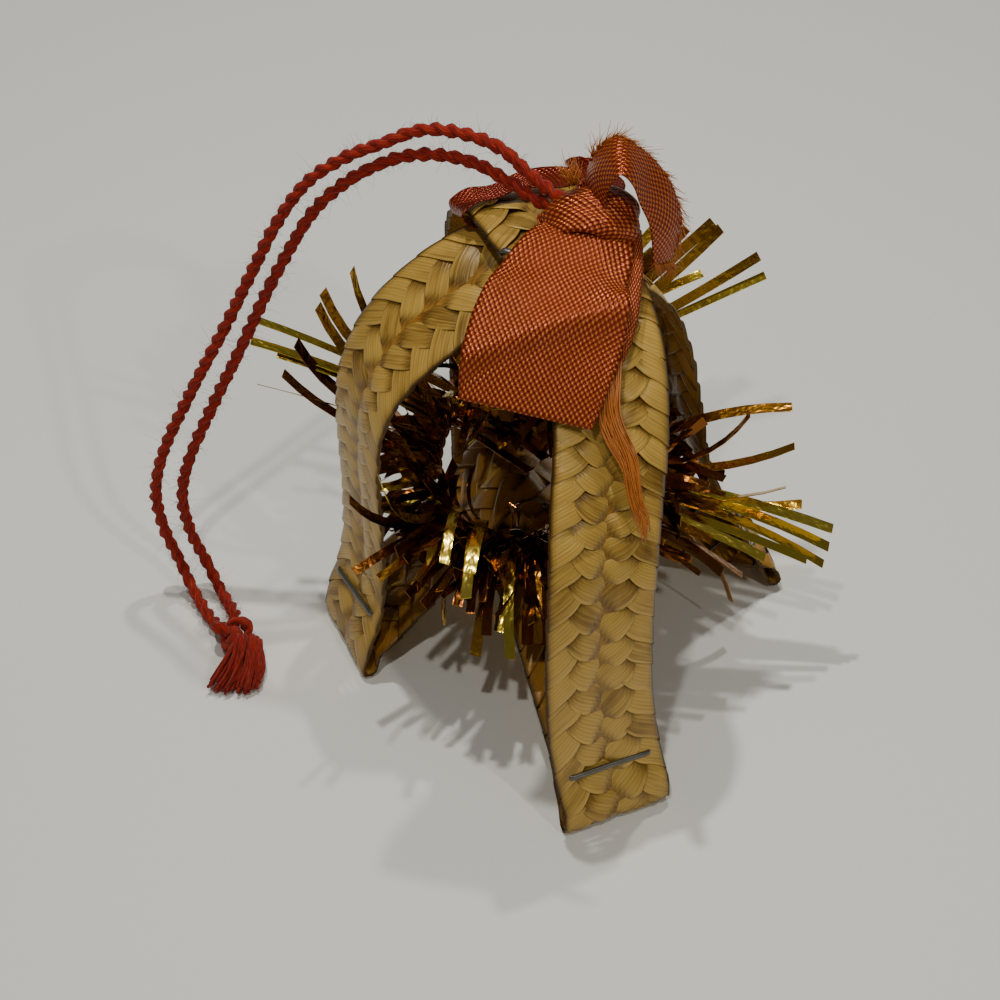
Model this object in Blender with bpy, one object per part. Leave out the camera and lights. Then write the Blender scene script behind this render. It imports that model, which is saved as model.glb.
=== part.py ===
"""Straw ornament: a small bell of two crossing plaited straw bands on four folded feet.

The left-right band and the front-back band are endless strips of flat plait. Each runs over the
dome, down to a foot on either side, folds back there and crosses the middle as a low inner arch.
A ring of tinsel garland lies on the inner arches, a satin ribbon is tied round the top, and a
doubled yarn loop hangs from the ribbon's knot down to its own knot on the table.

Frame: metres, +Z up, the table at z = 0, +X to the right and +Y away from the front leg. The
origin is the bottom centre of the ornament's box, without the yarn.
"""

import math

import bmesh
import bpy
import numpy as np

MM = 0.001
GAP = 0.35  # between pieces that touch

# The plait, in millimetres.
BAND_WIDTH = 17.0
BAND_THICK = 1.1
PITCH = 4.7  # one row of the plait
COLUMNS = 4
RELIEF = 0.24  # how far a row's edge stands above or below the mean face
ZIGZAG = 0.22  # how far the rows' edges zigzag, as a share of the pitch
RISE = 0.8  # the share of a row over which a strand rises to its edge
EDGE_THIN = 0.75  # the plait's thickness at its edges, as a share of the thickness inside
EDGE_RELIEF = 0.6  # the rows' relief at the edges, likewise
FOLD = 1.0  # half the distance between the two layers at a foot
PINCH = 3.0  # how far up from a foot the layers stay together
FOLD_CLEAR = 0.9  # no row ends nearer to a fold's own sections than this
FOLD_STEPS = (-1.0, -0.5, 0.0, 0.5, 1.0)  # the fold's sections, as shares of its half turn
ABOVE = 10.0  # the height over a foot at which its leg's own place is given

# Each leg from the crossing down: x, y, z, the azimuth of the width and its bank in degrees.
LEFT_LEG = (
    (-4.0, 4.0, 70.3, -72, 5),
    (-11.0, 2.0, 68.2, -73, 14),
    (-17.0, 0.2, 65.0, -74, 20),
    (-22.0, -1.3, 61.3, -74, 20),
    (-25.7, -2.3, 57.6, -72, 17),
    (-29.0, -3.3, 52.5, -69, 10),
    (-30.9, -3.9, 46.5, -67, 5),
    (-31.5, -4.1, 38.0, -66, 1),
    (-31.3, -4.4, 26.0, -66, 0),
    (-31.7, -5.2, 14.0, -66, 0),
)
RIGHT_LEG = (
    (3.0, 6.0, 67.8, -68, 0),
    (9.3, 8.0, 62.4, -63, 0),
    (13.1, 9.3, 54.0, -63, 0),
    (15.6, 9.8, 41.2, -63, 0),
    (18.0, 10.2, 29.0, -64, 0),
    (23.0, 11.0, 17.0, -68, 0),
    (27.8, 11.8, 8.0, -72, 0),
)
FRONT_LEG = (
    (-4.0, 4.0, 73.0, 27, 0),
    (-1.2, -1.5, 72.8, 27, 0),
    (1.5, -8.0, 71.3, 27, 0),
    (3.9, -16.0, 67.0, 27, 0),
    (4.6, -23.5, 60.0, 27, 0),
    (4.0, -30.0, 52.0, 27, 0),
    (3.6, -35.0, 43.0, 27, 0),
    (3.4, -38.0, 30.0, 27, 0),
    (4.0, -39.5, 18.0, 26, 0),
    (5.4, -40.6, 9.0, 25, 0),
)
BACK_LEG = (
    (-7.0, 10.5, 73.0, 27, 0),
    (-9.6, 17.5, 69.6, 27, 0),
    (-11.0, 23.2, 60.5, 26, 0),
    (-11.0, 25.3, 48.0, 25, 0),
    (-10.7, 25.6, 34.0, 24, 0),
    (-10.5, 25.6, 20.0, 22, 0),
    (-10.4, 26.2, 9.0, 20, 0),
)
# The inner arches between the feet, from the left foot and from the front foot.
LEFT_RIGHT_ARCH = (
    (-28.0, -3.6, 7.5, -66, 0),
    (-22.7, -1.1, 12.5, -68, 0),
    (-17.5, 0.5, 18.6, -70, 0),
    (-12.5, 2.2, 26.0, -72, 0),
    (-9.0, 3.3, 28.8, -73, 0),
    (-5.5, 4.4, 27.2, -74, 0),
    (1.0, 6.5, 21.5, -74, 0),
    (12.0, 9.0, 13.5, -74, 0),
    (22.0, 11.0, 7.6, -73, 0),
)
FRONT_BACK_ARCH = (
    (5.0, -35.0, 7.0, 25, 0),
    (2.5, -26.0, 10.5, 24, 0),
    (-1.0, -14.0, 14.5, 23, 0),
    (-4.5, -4.0, 16.6, 22, 0),
    (-7.0, 5.0, 16.8, 21, 0),
    (-8.5, 13.0, 13.8, 20, 0),
    (-9.5, 20.0, 9.0, 20, 0),
)
# Each foot: x, y on the table, the azimuth of the fold, and where the leg stands 10 mm up.
LEFT_FOOT = ((-34.1, -7.4), -66, (-32.2, -6.0))
RIGHT_FOOT = ((31.7, 12.6), -74, (27.0, 11.6))
FRONT_FOOT = ((6.4, -41.8), 24, (5.5, -40.8))
BACK_FOOT = ((-10.3, 27.3), 20, (-10.4, 26.4))

# The tinsel garland: a slanting ring of core wire with film fibres standing out of it.
RING_CENTRE = (-6.0, 3.5, 31.0)
RING_RADIUS = 14.0
RING_SLANT = 5.0  # how far the ring rises from its middle to its high side
RING_HIGH_SIDE = 60  # the azimuth of its high side
CORE_RADIUS = 1.1
RING_STEPS = 48
CORE_SIDES = 6
FIBRE_WIDTH = 1.5
FIBRE_THICK = 0.35
FIBRE_CLEAR = 2.4  # a fibre stays this far from the straw's middle face
FIBRE_APART = 1.4  # and this far from the other fibres, past its first few millimetres
LOWEST_FIBRE = 3.0
GROWN_FIBRES = 58
GROWN_ARCH = 0.5
FIBRE_LENGTHS = (15.0, 30.0)
SHORT_FIBRE = 17.0
OPEN_SECTOR = (85.0, 135.0)  # only here do the fibres that aren't placed run far out
FIBRE_SEED = 11
# The fibres that show on their own: the azimuth of the root, the tip, and how high it arches.
PLACED_FIBRES = (
    # out between the left and back legs
    (144, (-47.1, 14.0, 48.4), 1.5),
    (150, (-47.9, 11.0, 46.8), 1.8),
    (153, (-44.0, 10.0, 45.1), 1.4),
    (160, (-40.9, 9.0, 48.2), -4.0),
    (168, (-43.0, 7.0, 43.9), -3.0),
    (165, (-47.2, 8.0, 40.8), 1.0),
    (140, (-37.0, 15.0, 53.1), -4.0),
    (143, (-37.8, 14.0, 51.1), -4.0),
    (136, (-35.5, 16.0, 47.9), -3.0),
    (130, (-32.6, 17.0, 55.7), -4.5),
    # out between the back and right legs
    (84, (21.6, 24.0, 59.2), -0.5),
    (80, (22.7, 23.0, 58.8), -0.8),
    (76, (28.7, 22.0, 54.3), -1.0),
    (72, (29.8, 21.0, 51.4), 0.0),
    (82, (20.4, 23.0, 50.2), 2.0),
    (88, (16.5, 24.0, 53.1), 0.5),
    (90, (17.8, 25.0, 57.3), -1.5),
    (92, (12.7, 25.0, 56.9), 0.5),
    (94, (12.9, 24.0, 53.7), 0.5),
    # out between the right and front legs
    (-10, (32.5, -1.0, 44.2), 2.0),
    (-14, (26.3, -2.0, 43.7), -3.5),
    (-16, (33.4, -2.0, 37.3), -3.0),
    (-22, (40.0, -6.0, 23.9), 1.2),
    (-27, (39.6, -7.0, 21.0), 1.6),
    (-31, (38.9, -8.0, 18.3), 1.8),
    (-36, (36.1, -9.0, 20.2), 1.2),
    (-20, (32.3, -5.0, 31.7), -3.5),
    (-25, (35.2, -4.0, 27.2), -2.5),
    (-42, (29.2, -12.0, 23.7), 1.5),
    (-34, (25.7, -6.0, 7.9), 4.0),
    (-46, (26.1, -12.0, 20.0), 1.5),
    (-50, (22.7, -14.0, 22.7), 2.0),
    (-38, (25.3, -10.0, 23.8), 1.5),
    (-56, (19.2, -16.0, 24.4), 1.5),
    (-44, (21.0, -12.0, 27.5), 1.0),
    (-62, (17.3, -18.0, 29.4), 1.0),
    # out between the left and front legs
    (220, (-31.9, -18.5, 27.4), 0.8),
    (224, (-28.3, -19.0, 26.6), 1.0),
    (217, (-31.9, -18.5, 42.1), -3.0),
    (212, (-27.7, -17.0, 45.3), -4.0),
    (228, (-18.5, -24.0, 34.7), 5.0),
    (240, (-14.9, -25.0, 33.7), 4.5),
    (234, (-15.4, -25.0, 28.6), 5.0),
    (238, (-16.8, -22.0, 23.8), 1.8),
    (244, (-14.9, -23.0, 23.2), 1.8),
    (247, (-13.1, -22.0, 24.7), 1.8),
    (252, (-14.2, -24.0, 15.1), 2.5),
    (262, (-8.9, -26.0, 16.6), 2.5),
    (268, (-6.4, -26.0, 19.7), 2.5),
    (274, (-4.9, -26.0, 20.1), 2.5),
    (279, (-3.7, -25.0, 18.6), 2.0),
    # up through the middle
    (160, (-21.9, 2.0, 45.3), -1.0),
    (130, (-18.4, 4.0, 41.7), 1.0),
    (110, (-10.8, -1.0, 43.7), 1.0),
)

# The staples: a bar across each leg, this far up from the fold, and one slanting over the top.
STAPLE_LENGTH = 12.7
STAPLE_RADIUS = 0.3
STAPLE_STEPS = 5
STAPLE_UP = 9.0
TOP_STAPLE = ((2.0, -8.0), (12.3, -0.5))  # its ends: along the front-back band and to the side

# The ribbon: its sections by centre, direction of the width, and width.
RIBBON_THICK = 0.5
KNOT_CENTRE = (1.9, 0.0, 78.4)
KNOT_RADII = (6.2, 4.2, 3.9)
TAIL = (
    ((1.3, -1.5, 77.0), (1.0, 0.0, 0.0), 10.0),
    ((1.0, -5.0, 75.6), (1.0, -0.02, 0.0), 15.0),
    ((-2.6, -11.0, 73.2), (0.99, -0.1, -0.04), 19.5),
    ((-4.8, -17.0, 70.3), (0.98, -0.18, -0.06), 21.5),
    ((-6.6, -23.0, 65.8), (0.96, -0.24, -0.08), 20.5),
)
WRAP = (
    ((1.5, 1.5, 78.6), (0.2, 0.9, -0.3), 6.0),
    ((0.2, 9.0, 77.3), (-0.2, 0.9, -0.3), 6.5),
    ((-4.2, 16.4, 75.8), (-0.3, 0.86, -0.41), 7.0),
    ((-12.0, 14.3, 75.2), (-0.32, 0.85, -0.41), 6.5),
    ((-17.8, 12.2, 73.0), (-0.32, 0.85, -0.41), 6.0),
    ((-19.2, 12.3, 70.2), (-0.32, 0.85, -0.41), 5.5),
    ((-16.2, 12.6, 67.2), (-0.32, 0.85, -0.41), 5.0),
    ((-9.0, 15.4, 66.2), (-0.32, 0.85, -0.41), 5.0),
    ((-1.6, 18.8, 67.0), (-0.32, 0.85, -0.41), 5.0),
    ((2.4, 20.4, 70.0), (-0.32, 0.85, -0.41), 5.0),
    ((4.0, 17.0, 74.6), (-0.2, 0.9, -0.3), 5.0),
    ((5.2, 8.0, 78.2), (0.4, 0.9, 0.0), 4.5),
    ((4.2, 1.5, 79.6), (0.6, 0.8, 0.0), 4.0),
)
CURL = (
    ((3.0, 1.0, 80.0), (0.3, 0.95, 0.0), 6.0),
    ((2.9, 1.8, 85.4), (0.2, 0.98, 0.0), 7.0),
    ((6.2, 2.4, 88.6), (0.0, 1.0, 0.0), 7.5),
    ((10.6, 2.2, 86.2), (-0.1, 1.0, 0.0), 8.0),
    ((13.2, 1.2, 80.2), (-0.2, 0.97, 0.0), 8.0),
    ((13.0, 0.2, 73.0), (-0.3, 0.95, 0.0), 7.0),
)

# The yarn: two strands that run side by side from the bow down to the knot on the table.
YARN_RADIUS = 1.2
UPPER_STRAND = (
    (-6.4, 5.2, 81.6),
    (-10.5, 7.7, 84.2),
    (-16.0, 10.2, 85.0),
    (-21.5, 12.0, 84.2),
    (-27.2, 12.4, 81.6),
    (-32.4, 12.8, 79.0),
    (-38.1, 12.8, 74.6),
    (-43.0, 12.3, 67.4),
    (-46.9, 11.7, 59.4),
    (-51.4, 10.6, 50.2),
    (-57.2, 9.2, 39.0),
    (-62.4, 7.8, 28.0),
    (-64.6, 6.9, 19.6),
    (-64.0, 6.0, 12.4),
    (-62.0, 4.8, 6.4),
    (-59.6, 1.4, 2.6),
    (-57.2, -2.6, 1.7),
    (-55.4, -5.6, 2.4),
)
LOWER_STRAND = (
    (-6.6, 4.6, 78.6),
    (-12.9, 8.4, 80.6),
    (-18.6, 10.8, 80.8),
    (-24.0, 11.8, 79.9),
    (-29.1, 12.2, 77.4),
    (-33.4, 12.4, 74.2),
    (-37.4, 12.4, 69.8),
    (-41.2, 12.1, 63.2),
    (-45.2, 11.6, 55.2),
    (-50.0, 10.6, 44.6),
    (-54.9, 9.5, 34.4),
    (-59.2, 8.2, 24.4),
    (-60.6, 7.0, 17.6),
    (-59.8, 6.2, 11.0),
    (-57.8, 5.4, 5.4),
    (-55.6, 2.4, 2.2),
    (-53.6, -1.2, 1.8),
    (-52.6, -4.2, 2.6),
)
YARN_STEP = 6.0
YARN_KNOT = ((-52.6, -8.8, 3.5), (4.1, 3.6, 3.2))
TASSEL = (
    ((-52.0, -12.8, 3.2), 2.6, 2.4),
    ((-51.6, -15.6, 2.7), 3.4, 2.3),
    ((-51.0, -18.6, 2.1), 4.1, 1.9),
    ((-50.6, -21.4, 1.5), 4.3, 1.2),
)
TASSEL_SIDES = 12

# The middle of the ornament's box in the numbers above, without the yarn; it goes to the origin.
CENTRE = (-3.952, -7.072)


def unit(vector):
    """The vector at length one."""
    vector = np.asarray(vector, float)
    return vector / np.linalg.norm(vector)


def smooth(points, steps=12):
    """A smooth curve through the points (Catmull-Rom), end points included."""
    p = np.asarray(points, float)
    p = np.vstack([2 * p[0] - p[1], p, 2 * p[-1] - p[-2]])
    out = []
    for i in range(1, len(p) - 2):
        for t in np.linspace(0.0, 1.0, steps, endpoint=False):
            out.append(
                0.5
                * (
                    2 * p[i]
                    + (p[i + 1] - p[i - 1]) * t
                    + (2 * p[i - 1] - 5 * p[i] + 4 * p[i + 1] - p[i + 2]) * t**2
                    + (3 * p[i] - p[i - 1] - 3 * p[i + 1] + p[i + 2]) * t**3
                )
            )
    return np.array(out + [p[-2]])


def width_vector(azimuth, bank):
    """The direction of a band's width; a positive bank lowers the end it points to."""
    a, b = math.radians(azimuth), math.radians(bank)
    return np.array([math.cos(a) * math.cos(b), math.sin(a) * math.cos(b), -math.sin(b)])


def station_line(stations):
    """The smooth centre line and width directions through a leg's or an arch's stations."""
    line = smooth(stations)
    return line[:, :3], np.array([width_vector(a, b) for a, b in line[:, 3:]])


def fold_line(foot):
    """The two layers and the fold at a foot, from the leg's side to the arch's side."""
    (x, y), azimuth, above = foot
    w = width_vector(azimuth, 0)
    up = np.array([above[0] - x, above[1] - y, ABOVE])
    up = unit(up - w * (up @ w))
    inward = np.cross(up, w)
    middle = np.array([x, y, FOLD + BAND_THICK / 2])
    points = [middle + up * h - inward * FOLD for h in (PINCH, PINCH / 2)]
    for turn in np.linspace(0.0, math.pi, 5):
        points.append(middle - (inward * math.cos(turn) + up * math.sin(turn)) * FOLD)
    points += [middle + up * h + inward * FOLD for h in (PINCH / 2, PINCH)]
    return np.array(points), np.tile(w, (len(points), 1))


class Band:
    """A band's closed centre line with its frames and the places of its folds."""

    def __init__(self, leg, foot, arch, far_foot, far_leg):
        near, far = fold_line(foot), fold_line(far_foot)
        far = (far[0][::-1], far[1][::-1])
        start = station_line(list(leg) + [self.station(near, 0)])
        middle = station_line([self.station(near, -1), *arch, self.station(far, 0)])
        back = [self.station(far, -1), *reversed(far_leg), leg[0]]
        pieces = [start, near, middle, far, station_line(back)]
        self.folds = []
        for piece in (1, 3):
            before = sum(len(points) - 1 for points, _ in pieces[:piece])
            self.folds.append(before + len(pieces[piece][0]) // 2)
        line = np.vstack([points[:-1] for points, _ in pieces])
        widths = np.vstack([w[:-1] for _, w in pieces])
        self.build(line, widths)

    @staticmethod
    def station(fold, index):
        """A fold's end written as a station of a leg or an arch."""
        point, w = fold[0][index], fold[1][index]
        return (*point, math.degrees(math.atan2(w[1], w[0])), 0.0)

    def build(self, line, widths):
        """Frames and lengths along the closed line."""
        self.line = line
        steps = np.linalg.norm(np.roll(line, -1, axis=0) - line, axis=1)
        self.along = np.concatenate([[0.0], np.cumsum(steps)])
        self.length = self.along[-1]
        self.fold_at = [self.along[i] for i in self.folds]
        tangents = np.roll(line, -1, axis=0) - np.roll(line, 1, axis=0)
        self.tangents = tangents / np.linalg.norm(tangents, axis=1)[:, None]
        across = widths - self.tangents * (widths * self.tangents).sum(1)[:, None]
        self.across = across / np.linalg.norm(across, axis=1)[:, None]
        self.rows = round(self.length / PITCH)
        self.pitch = self.length / self.rows

    def read(self, values, at):
        """Values given along the closed line, read at a length."""
        closed = np.vstack([values, values[:1]])
        at = at % self.length
        return np.array([np.interp(at, self.along, closed[:, k]) for k in range(3)])

    def point(self, at, side, out):
        """A point at a length, a distance sideways and a distance out of the face."""
        across = unit(self.read(self.across, at))
        tangent = unit(self.read(self.tangents, at))
        normal = unit(np.cross(tangent, across))
        return self.read(self.line, at) + across * side + normal * out

    def flatness(self, at):
        """1 on the plait's free stretches and 0 at a fold, where the rows lie flat."""
        near = min(abs((at - f + self.length / 2) % self.length - self.length / 2) for f in self.fold_at)
        return min(1.0, max(0.0, (near - PINCH) / PITCH))


def material(name, colour, roughness, metallic=0.0):
    """A plain Principled material."""
    made = bpy.data.materials.new(name)
    made.use_nodes = True
    shader = made.node_tree.nodes["Principled BSDF"]
    shader.inputs["Base Color"].default_value = (*colour, 1.0)
    shader.inputs["Roughness"].default_value = roughness
    shader.inputs["Metallic"].default_value = metallic
    return made


def finish(mesh_builder, name, collection, paint, turn_outwards=True):
    """Turns a bmesh in millimetres into an object in metres, moved to the origin's frame."""
    shift = (-CENTRE[0], -CENTRE[1], 0.0)
    bmesh.ops.translate(mesh_builder, verts=mesh_builder.verts, vec=shift)
    bmesh.ops.scale(mesh_builder, verts=mesh_builder.verts, vec=(MM, MM, MM))
    if turn_outwards:
        bmesh.ops.recalc_face_normals(mesh_builder, faces=mesh_builder.faces)
    mesh = bpy.data.meshes.new(name)
    mesh_builder.to_mesh(mesh)
    mesh_builder.free()
    mesh.materials.append(paint)
    made = bpy.data.objects.new(name, mesh)
    collection.objects.link(made)
    return made


def band_rows(band):
    """The lengths of a band's sections, the height of each and how far it zigzags."""
    rows = []
    for row in range(band.rows):
        start = row * band.pitch
        rows.append((start, -RELIEF))
        rows.append((start + RISE * band.pitch, RELIEF))
    for fold in band.fold_at:
        reach = FOLD * math.pi / 2
        rows = [row for row in rows if abs(row[0] - fold) > reach + FOLD_CLEAR]
        rows += [(fold + share * reach, 0.0) for share in FOLD_STEPS]
    return sorted(rows)


def plaited_band(band, name, collection, paint):
    """A closed strip of plait: rows that zigzag across the width and overlap like shingles."""
    built = bmesh.new()
    sections = []
    for start, height in band_rows(band):
        loop = []
        free = band.flatness(start)
        for face in (1, -1):
            columns = range(COLUMNS + 1) if face > 0 else range(COLUMNS, -1, -1)
            for column in columns:
                side = BAND_WIDTH * (column / COLUMNS - 0.5)
                swing = ZIGZAG * band.pitch * (1 if column % 2 else -1) * free
                thin, low = (EDGE_THIN, EDGE_RELIEF) if column in (0, COLUMNS) else (1.0, 1.0)
                out = face * (BAND_THICK / 2 * thin + height * free * low)
                loop.append(built.verts.new(band.point(start - swing, side, out)))
        sections.append(loop)
    for here, after in zip(sections, sections[1:] + sections[:1]):
        for k in range(len(here)):
            n = (k + 1) % len(here)
            built.faces.new((here[k], after[k], after[n], here[n]))
    return finish(built, name, collection, paint)


def ring_point(azimuth):
    """A point of the tinsel's ring and the way out of it, by its azimuth in degrees."""
    turn = math.radians(azimuth)
    way = np.array([math.cos(turn), math.sin(turn), 0.0])
    rise = RING_SLANT * math.cos(turn - math.radians(RING_HIGH_SIDE))
    return np.array(RING_CENTRE) + way * RING_RADIUS + np.array([0.0, 0.0, rise]), way


def straw_points(bands):
    """Points spread over the bands' middle faces, for keeping the fibres off the straw."""
    points = []
    for band in bands:
        for side in np.linspace(-9.0, 9.0, 9):
            points += [band.point(at, side, 0.0) for at in np.arange(0.0, band.length, 2.0)]
    return np.array(points)


def grown_fibre(chance, straw):
    """A fibre in a random direction, as far as it runs clear of the straw and the table."""
    azimuth = chance.uniform(0.0, 360.0)
    root, way = ring_point(azimuth)
    rise = math.radians(chance.normal(4.0, 34.0))
    sway = np.cross((0.0, 0.0, 1.0), way) * chance.normal(0.0, 0.35)
    length = chance.uniform(*FIBRE_LENGTHS)
    if not OPEN_SECTOR[0] < azimuth < OPEN_SECTOR[1]:
        length = min(length, SHORT_FIBRE)
    way = unit(way * math.cos(rise) + np.array([0.0, 0.0, math.sin(rise)]) + sway)
    for reach in np.arange(3.0, length, 1.0):
        point = root + way * reach
        if np.linalg.norm(straw - point, axis=1).min() < FIBRE_CLEAR or point[2] < LOWEST_FIBRE:
            length = reach - 1.0
            break
    return (azimuth, root + way * length) if length > 6.0 else None


def fibre_line(root, tip, arch, shares):
    """Points along a fibre, which arches between its root and its tip."""
    way = unit(tip - root)
    up = np.cross(unit(np.cross(way, (0.02, 0.03, 1.0))), way)
    return root + np.outer(shares, tip - root) + np.outer(4 * shares * (1 - shares) * arch, up)


def fibre_points(azimuth, tip, arch):
    """Points along a fibre, from clear of the core to its tip."""
    root, _ = ring_point(azimuth)
    return fibre_line(root, tip, arch, np.linspace(0.25, 1.0, 16))


def fibre_plan(straw):
    """Every fibre of the tinsel: its azimuth, tip and arch, the grown ones clear of the others."""
    chance = np.random.default_rng(FIBRE_SEED)
    plan = [(azimuth, np.array(tip), arch) for azimuth, tip, arch in PLACED_FIBRES]
    taken = np.vstack([fibre_points(*fibre) for fibre in plan])
    grown = 0
    while grown < GROWN_FIBRES:
        fibre = grown_fibre(chance, straw)
        if not fibre:
            continue
        grown += 1
        azimuth, tip = fibre
        line = fibre_points(azimuth, np.array(tip), GROWN_ARCH)
        if np.linalg.norm(taken[:, None] - line[None], axis=2).min() > FIBRE_APART:
            plan.append((azimuth, np.array(tip), GROWN_ARCH))
            taken = np.vstack([taken, line])
    return plan


def nearest_face(azimuth, way, taken):
    """The free face of the core nearest to where a fibre stands and points."""
    step = azimuth % 360 / 360 * RING_STEPS - 0.5
    side = math.atan2(way[2], math.hypot(way[0], way[1])) / (2 * math.pi) * CORE_SIDES
    keys = [(a, b) for a in range(RING_STEPS) for b in (0, 1, 2, -2, -1) if (a, b) not in taken]

    def far(key):
        around = abs((key[0] - step + RING_STEPS / 2) % RING_STEPS - RING_STEPS / 2)
        return around + 1.5 * abs(key[1] - side)

    return min(keys, key=far)


def tinsel(straw, collection, paint):
    """The ring of core wire with each fibre drawn out of one of its faces."""
    built = bmesh.new()
    rings = []
    for step in range(RING_STEPS):
        centre, way = ring_point(step * 360 / RING_STEPS)
        loop = []
        for side in range(CORE_SIDES):
            turn = (side - 0.5) * 2 * math.pi / CORE_SIDES
            place = centre + (way * math.cos(turn) + np.array([0, 0, math.sin(turn)])) * CORE_RADIUS
            loop.append(built.verts.new(place))
        rings.append(loop)
    faces = {}
    for step in range(RING_STEPS):
        here, after = rings[step], rings[(step + 1) % RING_STEPS]
        for side in range(CORE_SIDES):
            n = (side + 1) % CORE_SIDES
            faces[(step, side)] = built.faces.new((here[side], after[side], after[n], here[n]))
    taken = set()
    for azimuth, tip, arch in fibre_plan(straw):
        way = unit(tip - ring_point(azimuth)[0])
        key = nearest_face(azimuth, way, taken)
        taken.add(key)
        face = faces[(key[0], key[1] % CORE_SIDES)]
        root = np.array(face.calc_center_median())
        way = unit(tip - root)
        wide = unit(np.cross(way, (0.0, 0.0, 1.0)))
        thick = np.cross(wide, way)
        before = root
        for middle in fibre_line(root, tip, arch, np.array([0.06, 0.5, 1.0])):
            grown = bmesh.ops.extrude_discrete_faces(built, faces=[face])["faces"][0]
            for vert in grown.verts:
                away = np.array(vert.co) - before
                vert.co = middle + (
                    wide * math.copysign(FIBRE_WIDTH / 2, away @ wide)
                    + thick * math.copysign(FIBRE_THICK / 2, away @ thick)
                )
            before = middle
            face = grown
    return finish(built, "tinsel", collection, paint, turn_outwards=False)


def wire(name, points, radius, collection, paint):
    """A round wire or strand through the points: a bevelled curve with filled caps."""
    curve = bpy.data.curves.new(name, "CURVE")
    curve.dimensions = "3D"
    curve.bevel_depth = radius * MM
    curve.bevel_resolution = 2
    curve.use_fill_caps = True
    spline = curve.splines.new("POLY")
    spline.points.add(len(points) - 1)
    for slot, (x, y, z) in zip(spline.points, points):
        slot.co = ((x - CENTRE[0]) * MM, (y - CENTRE[1]) * MM, z * MM, 1.0)
    curve.materials.append(paint)
    made = bpy.data.objects.new(name, curve)
    collection.objects.link(made)
    return made


def staple(name, band, ends, collection, paint):
    """A staple's bar over the outer face of a band, between two places given along and aside."""
    lift = BAND_THICK / 2 + RELIEF + GAP + STAPLE_RADIUS
    places = np.linspace(ends[0], ends[1], STAPLE_STEPS)
    points = [band.point(at, side, lift) for at, side in places]
    return wire(name, points, STAPLE_RADIUS, collection, paint)


def evenly(points, step):
    """Points a step apart along a smooth curve through the route's own points."""
    line = smooth(points)
    along = np.concatenate([[0.0], np.cumsum(np.linalg.norm(np.diff(line, axis=0), axis=1))])
    at = np.linspace(0.0, along[-1], max(2, round(along[-1] / step) + 1))
    return np.stack([np.interp(at, along, line[:, k]) for k in range(3)], axis=1)


def ribbon_strip(sections, name, collection):
    """A flat length of ribbon through its sections, as a closed strip."""
    rows = smooth([(*centre, *way, width) for centre, way, width in sections], 3)
    built = bmesh.new()
    loops = []
    for index, row in enumerate(rows):
        centre, way, width = row[:3], row[3:6], row[6]
        tangent = unit(rows[min(index + 1, len(rows) - 1)][:3] - rows[max(index - 1, 0)][:3])
        way = unit(way - tangent * (way @ tangent))
        out = np.cross(tangent, way) * RIBBON_THICK / 2
        side = way * width / 2
        corners = (centre - side - out, centre + side - out, centre + side + out, centre - side + out)
        loops.append([built.verts.new(c) for c in corners])
    for here, after in zip(loops, loops[1:]):
        for k in range(4):
            n = (k + 1) % 4
            built.faces.new((here[k], after[k], after[n], here[n]))
    built.faces.new(loops[0])
    built.faces.new(loops[-1][::-1])
    made = finish(built, name, collection, bpy.data.materials["ribbon"])
    made.hide_render = True
    made.display_type = "WIRE"
    return made


def ribbon_bow(collection, cutters, paint):
    """The knot of the ribbon, joined with its wrap round the back leg, its tail and its curl."""
    built = bmesh.new()
    bmesh.ops.create_uvsphere(built, u_segments=16, v_segments=10, radius=1.0)
    bmesh.ops.scale(built, verts=built.verts, vec=KNOT_RADII)
    bmesh.ops.translate(built, verts=built.verts, vec=KNOT_CENTRE)
    knot = finish(built, "ribbon_bow", collection, paint)
    for name, sections in (("wrap", WRAP), ("tail", TAIL), ("curl", CURL)):
        union = knot.modifiers.new(name, "BOOLEAN")
        union.operation = "UNION"
        union.object = ribbon_strip(sections, f"cut_{name}", cutters)
    return knot


def lump(name, centre, radii, collection, paint):
    """A knot of yarn as a plain rounded lump."""
    built = bmesh.new()
    bmesh.ops.create_uvsphere(built, u_segments=12, v_segments=8, radius=1.0)
    bmesh.ops.scale(built, verts=built.verts, vec=radii)
    bmesh.ops.translate(built, verts=built.verts, vec=centre)
    return finish(built, name, collection, paint)


def tassel(name, sections, collection, paint):
    """The frayed ends beyond the knot: a flattened cone that fans out on the table."""
    built = bmesh.new()
    loops = []
    for (x, y, z), wide, high in sections:
        loop = []
        for side in range(TASSEL_SIDES):
            turn = side * 2 * math.pi / TASSEL_SIDES
            loop.append(built.verts.new((x + wide * math.cos(turn), y, z + high * math.sin(turn))))
        loops.append(loop)
    for here, after in zip(loops, loops[1:]):
        for k in range(TASSEL_SIDES):
            n = (k + 1) % TASSEL_SIDES
            built.faces.new((here[k], after[k], after[n], here[n]))
    built.faces.new(loops[0])
    built.faces.new(loops[-1][::-1])
    return finish(built, name, collection, paint)


def clear_scene():
    """Starts from an empty file."""
    for old in list(bpy.data.objects):
        bpy.data.objects.remove(old, do_unlink=True)


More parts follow.
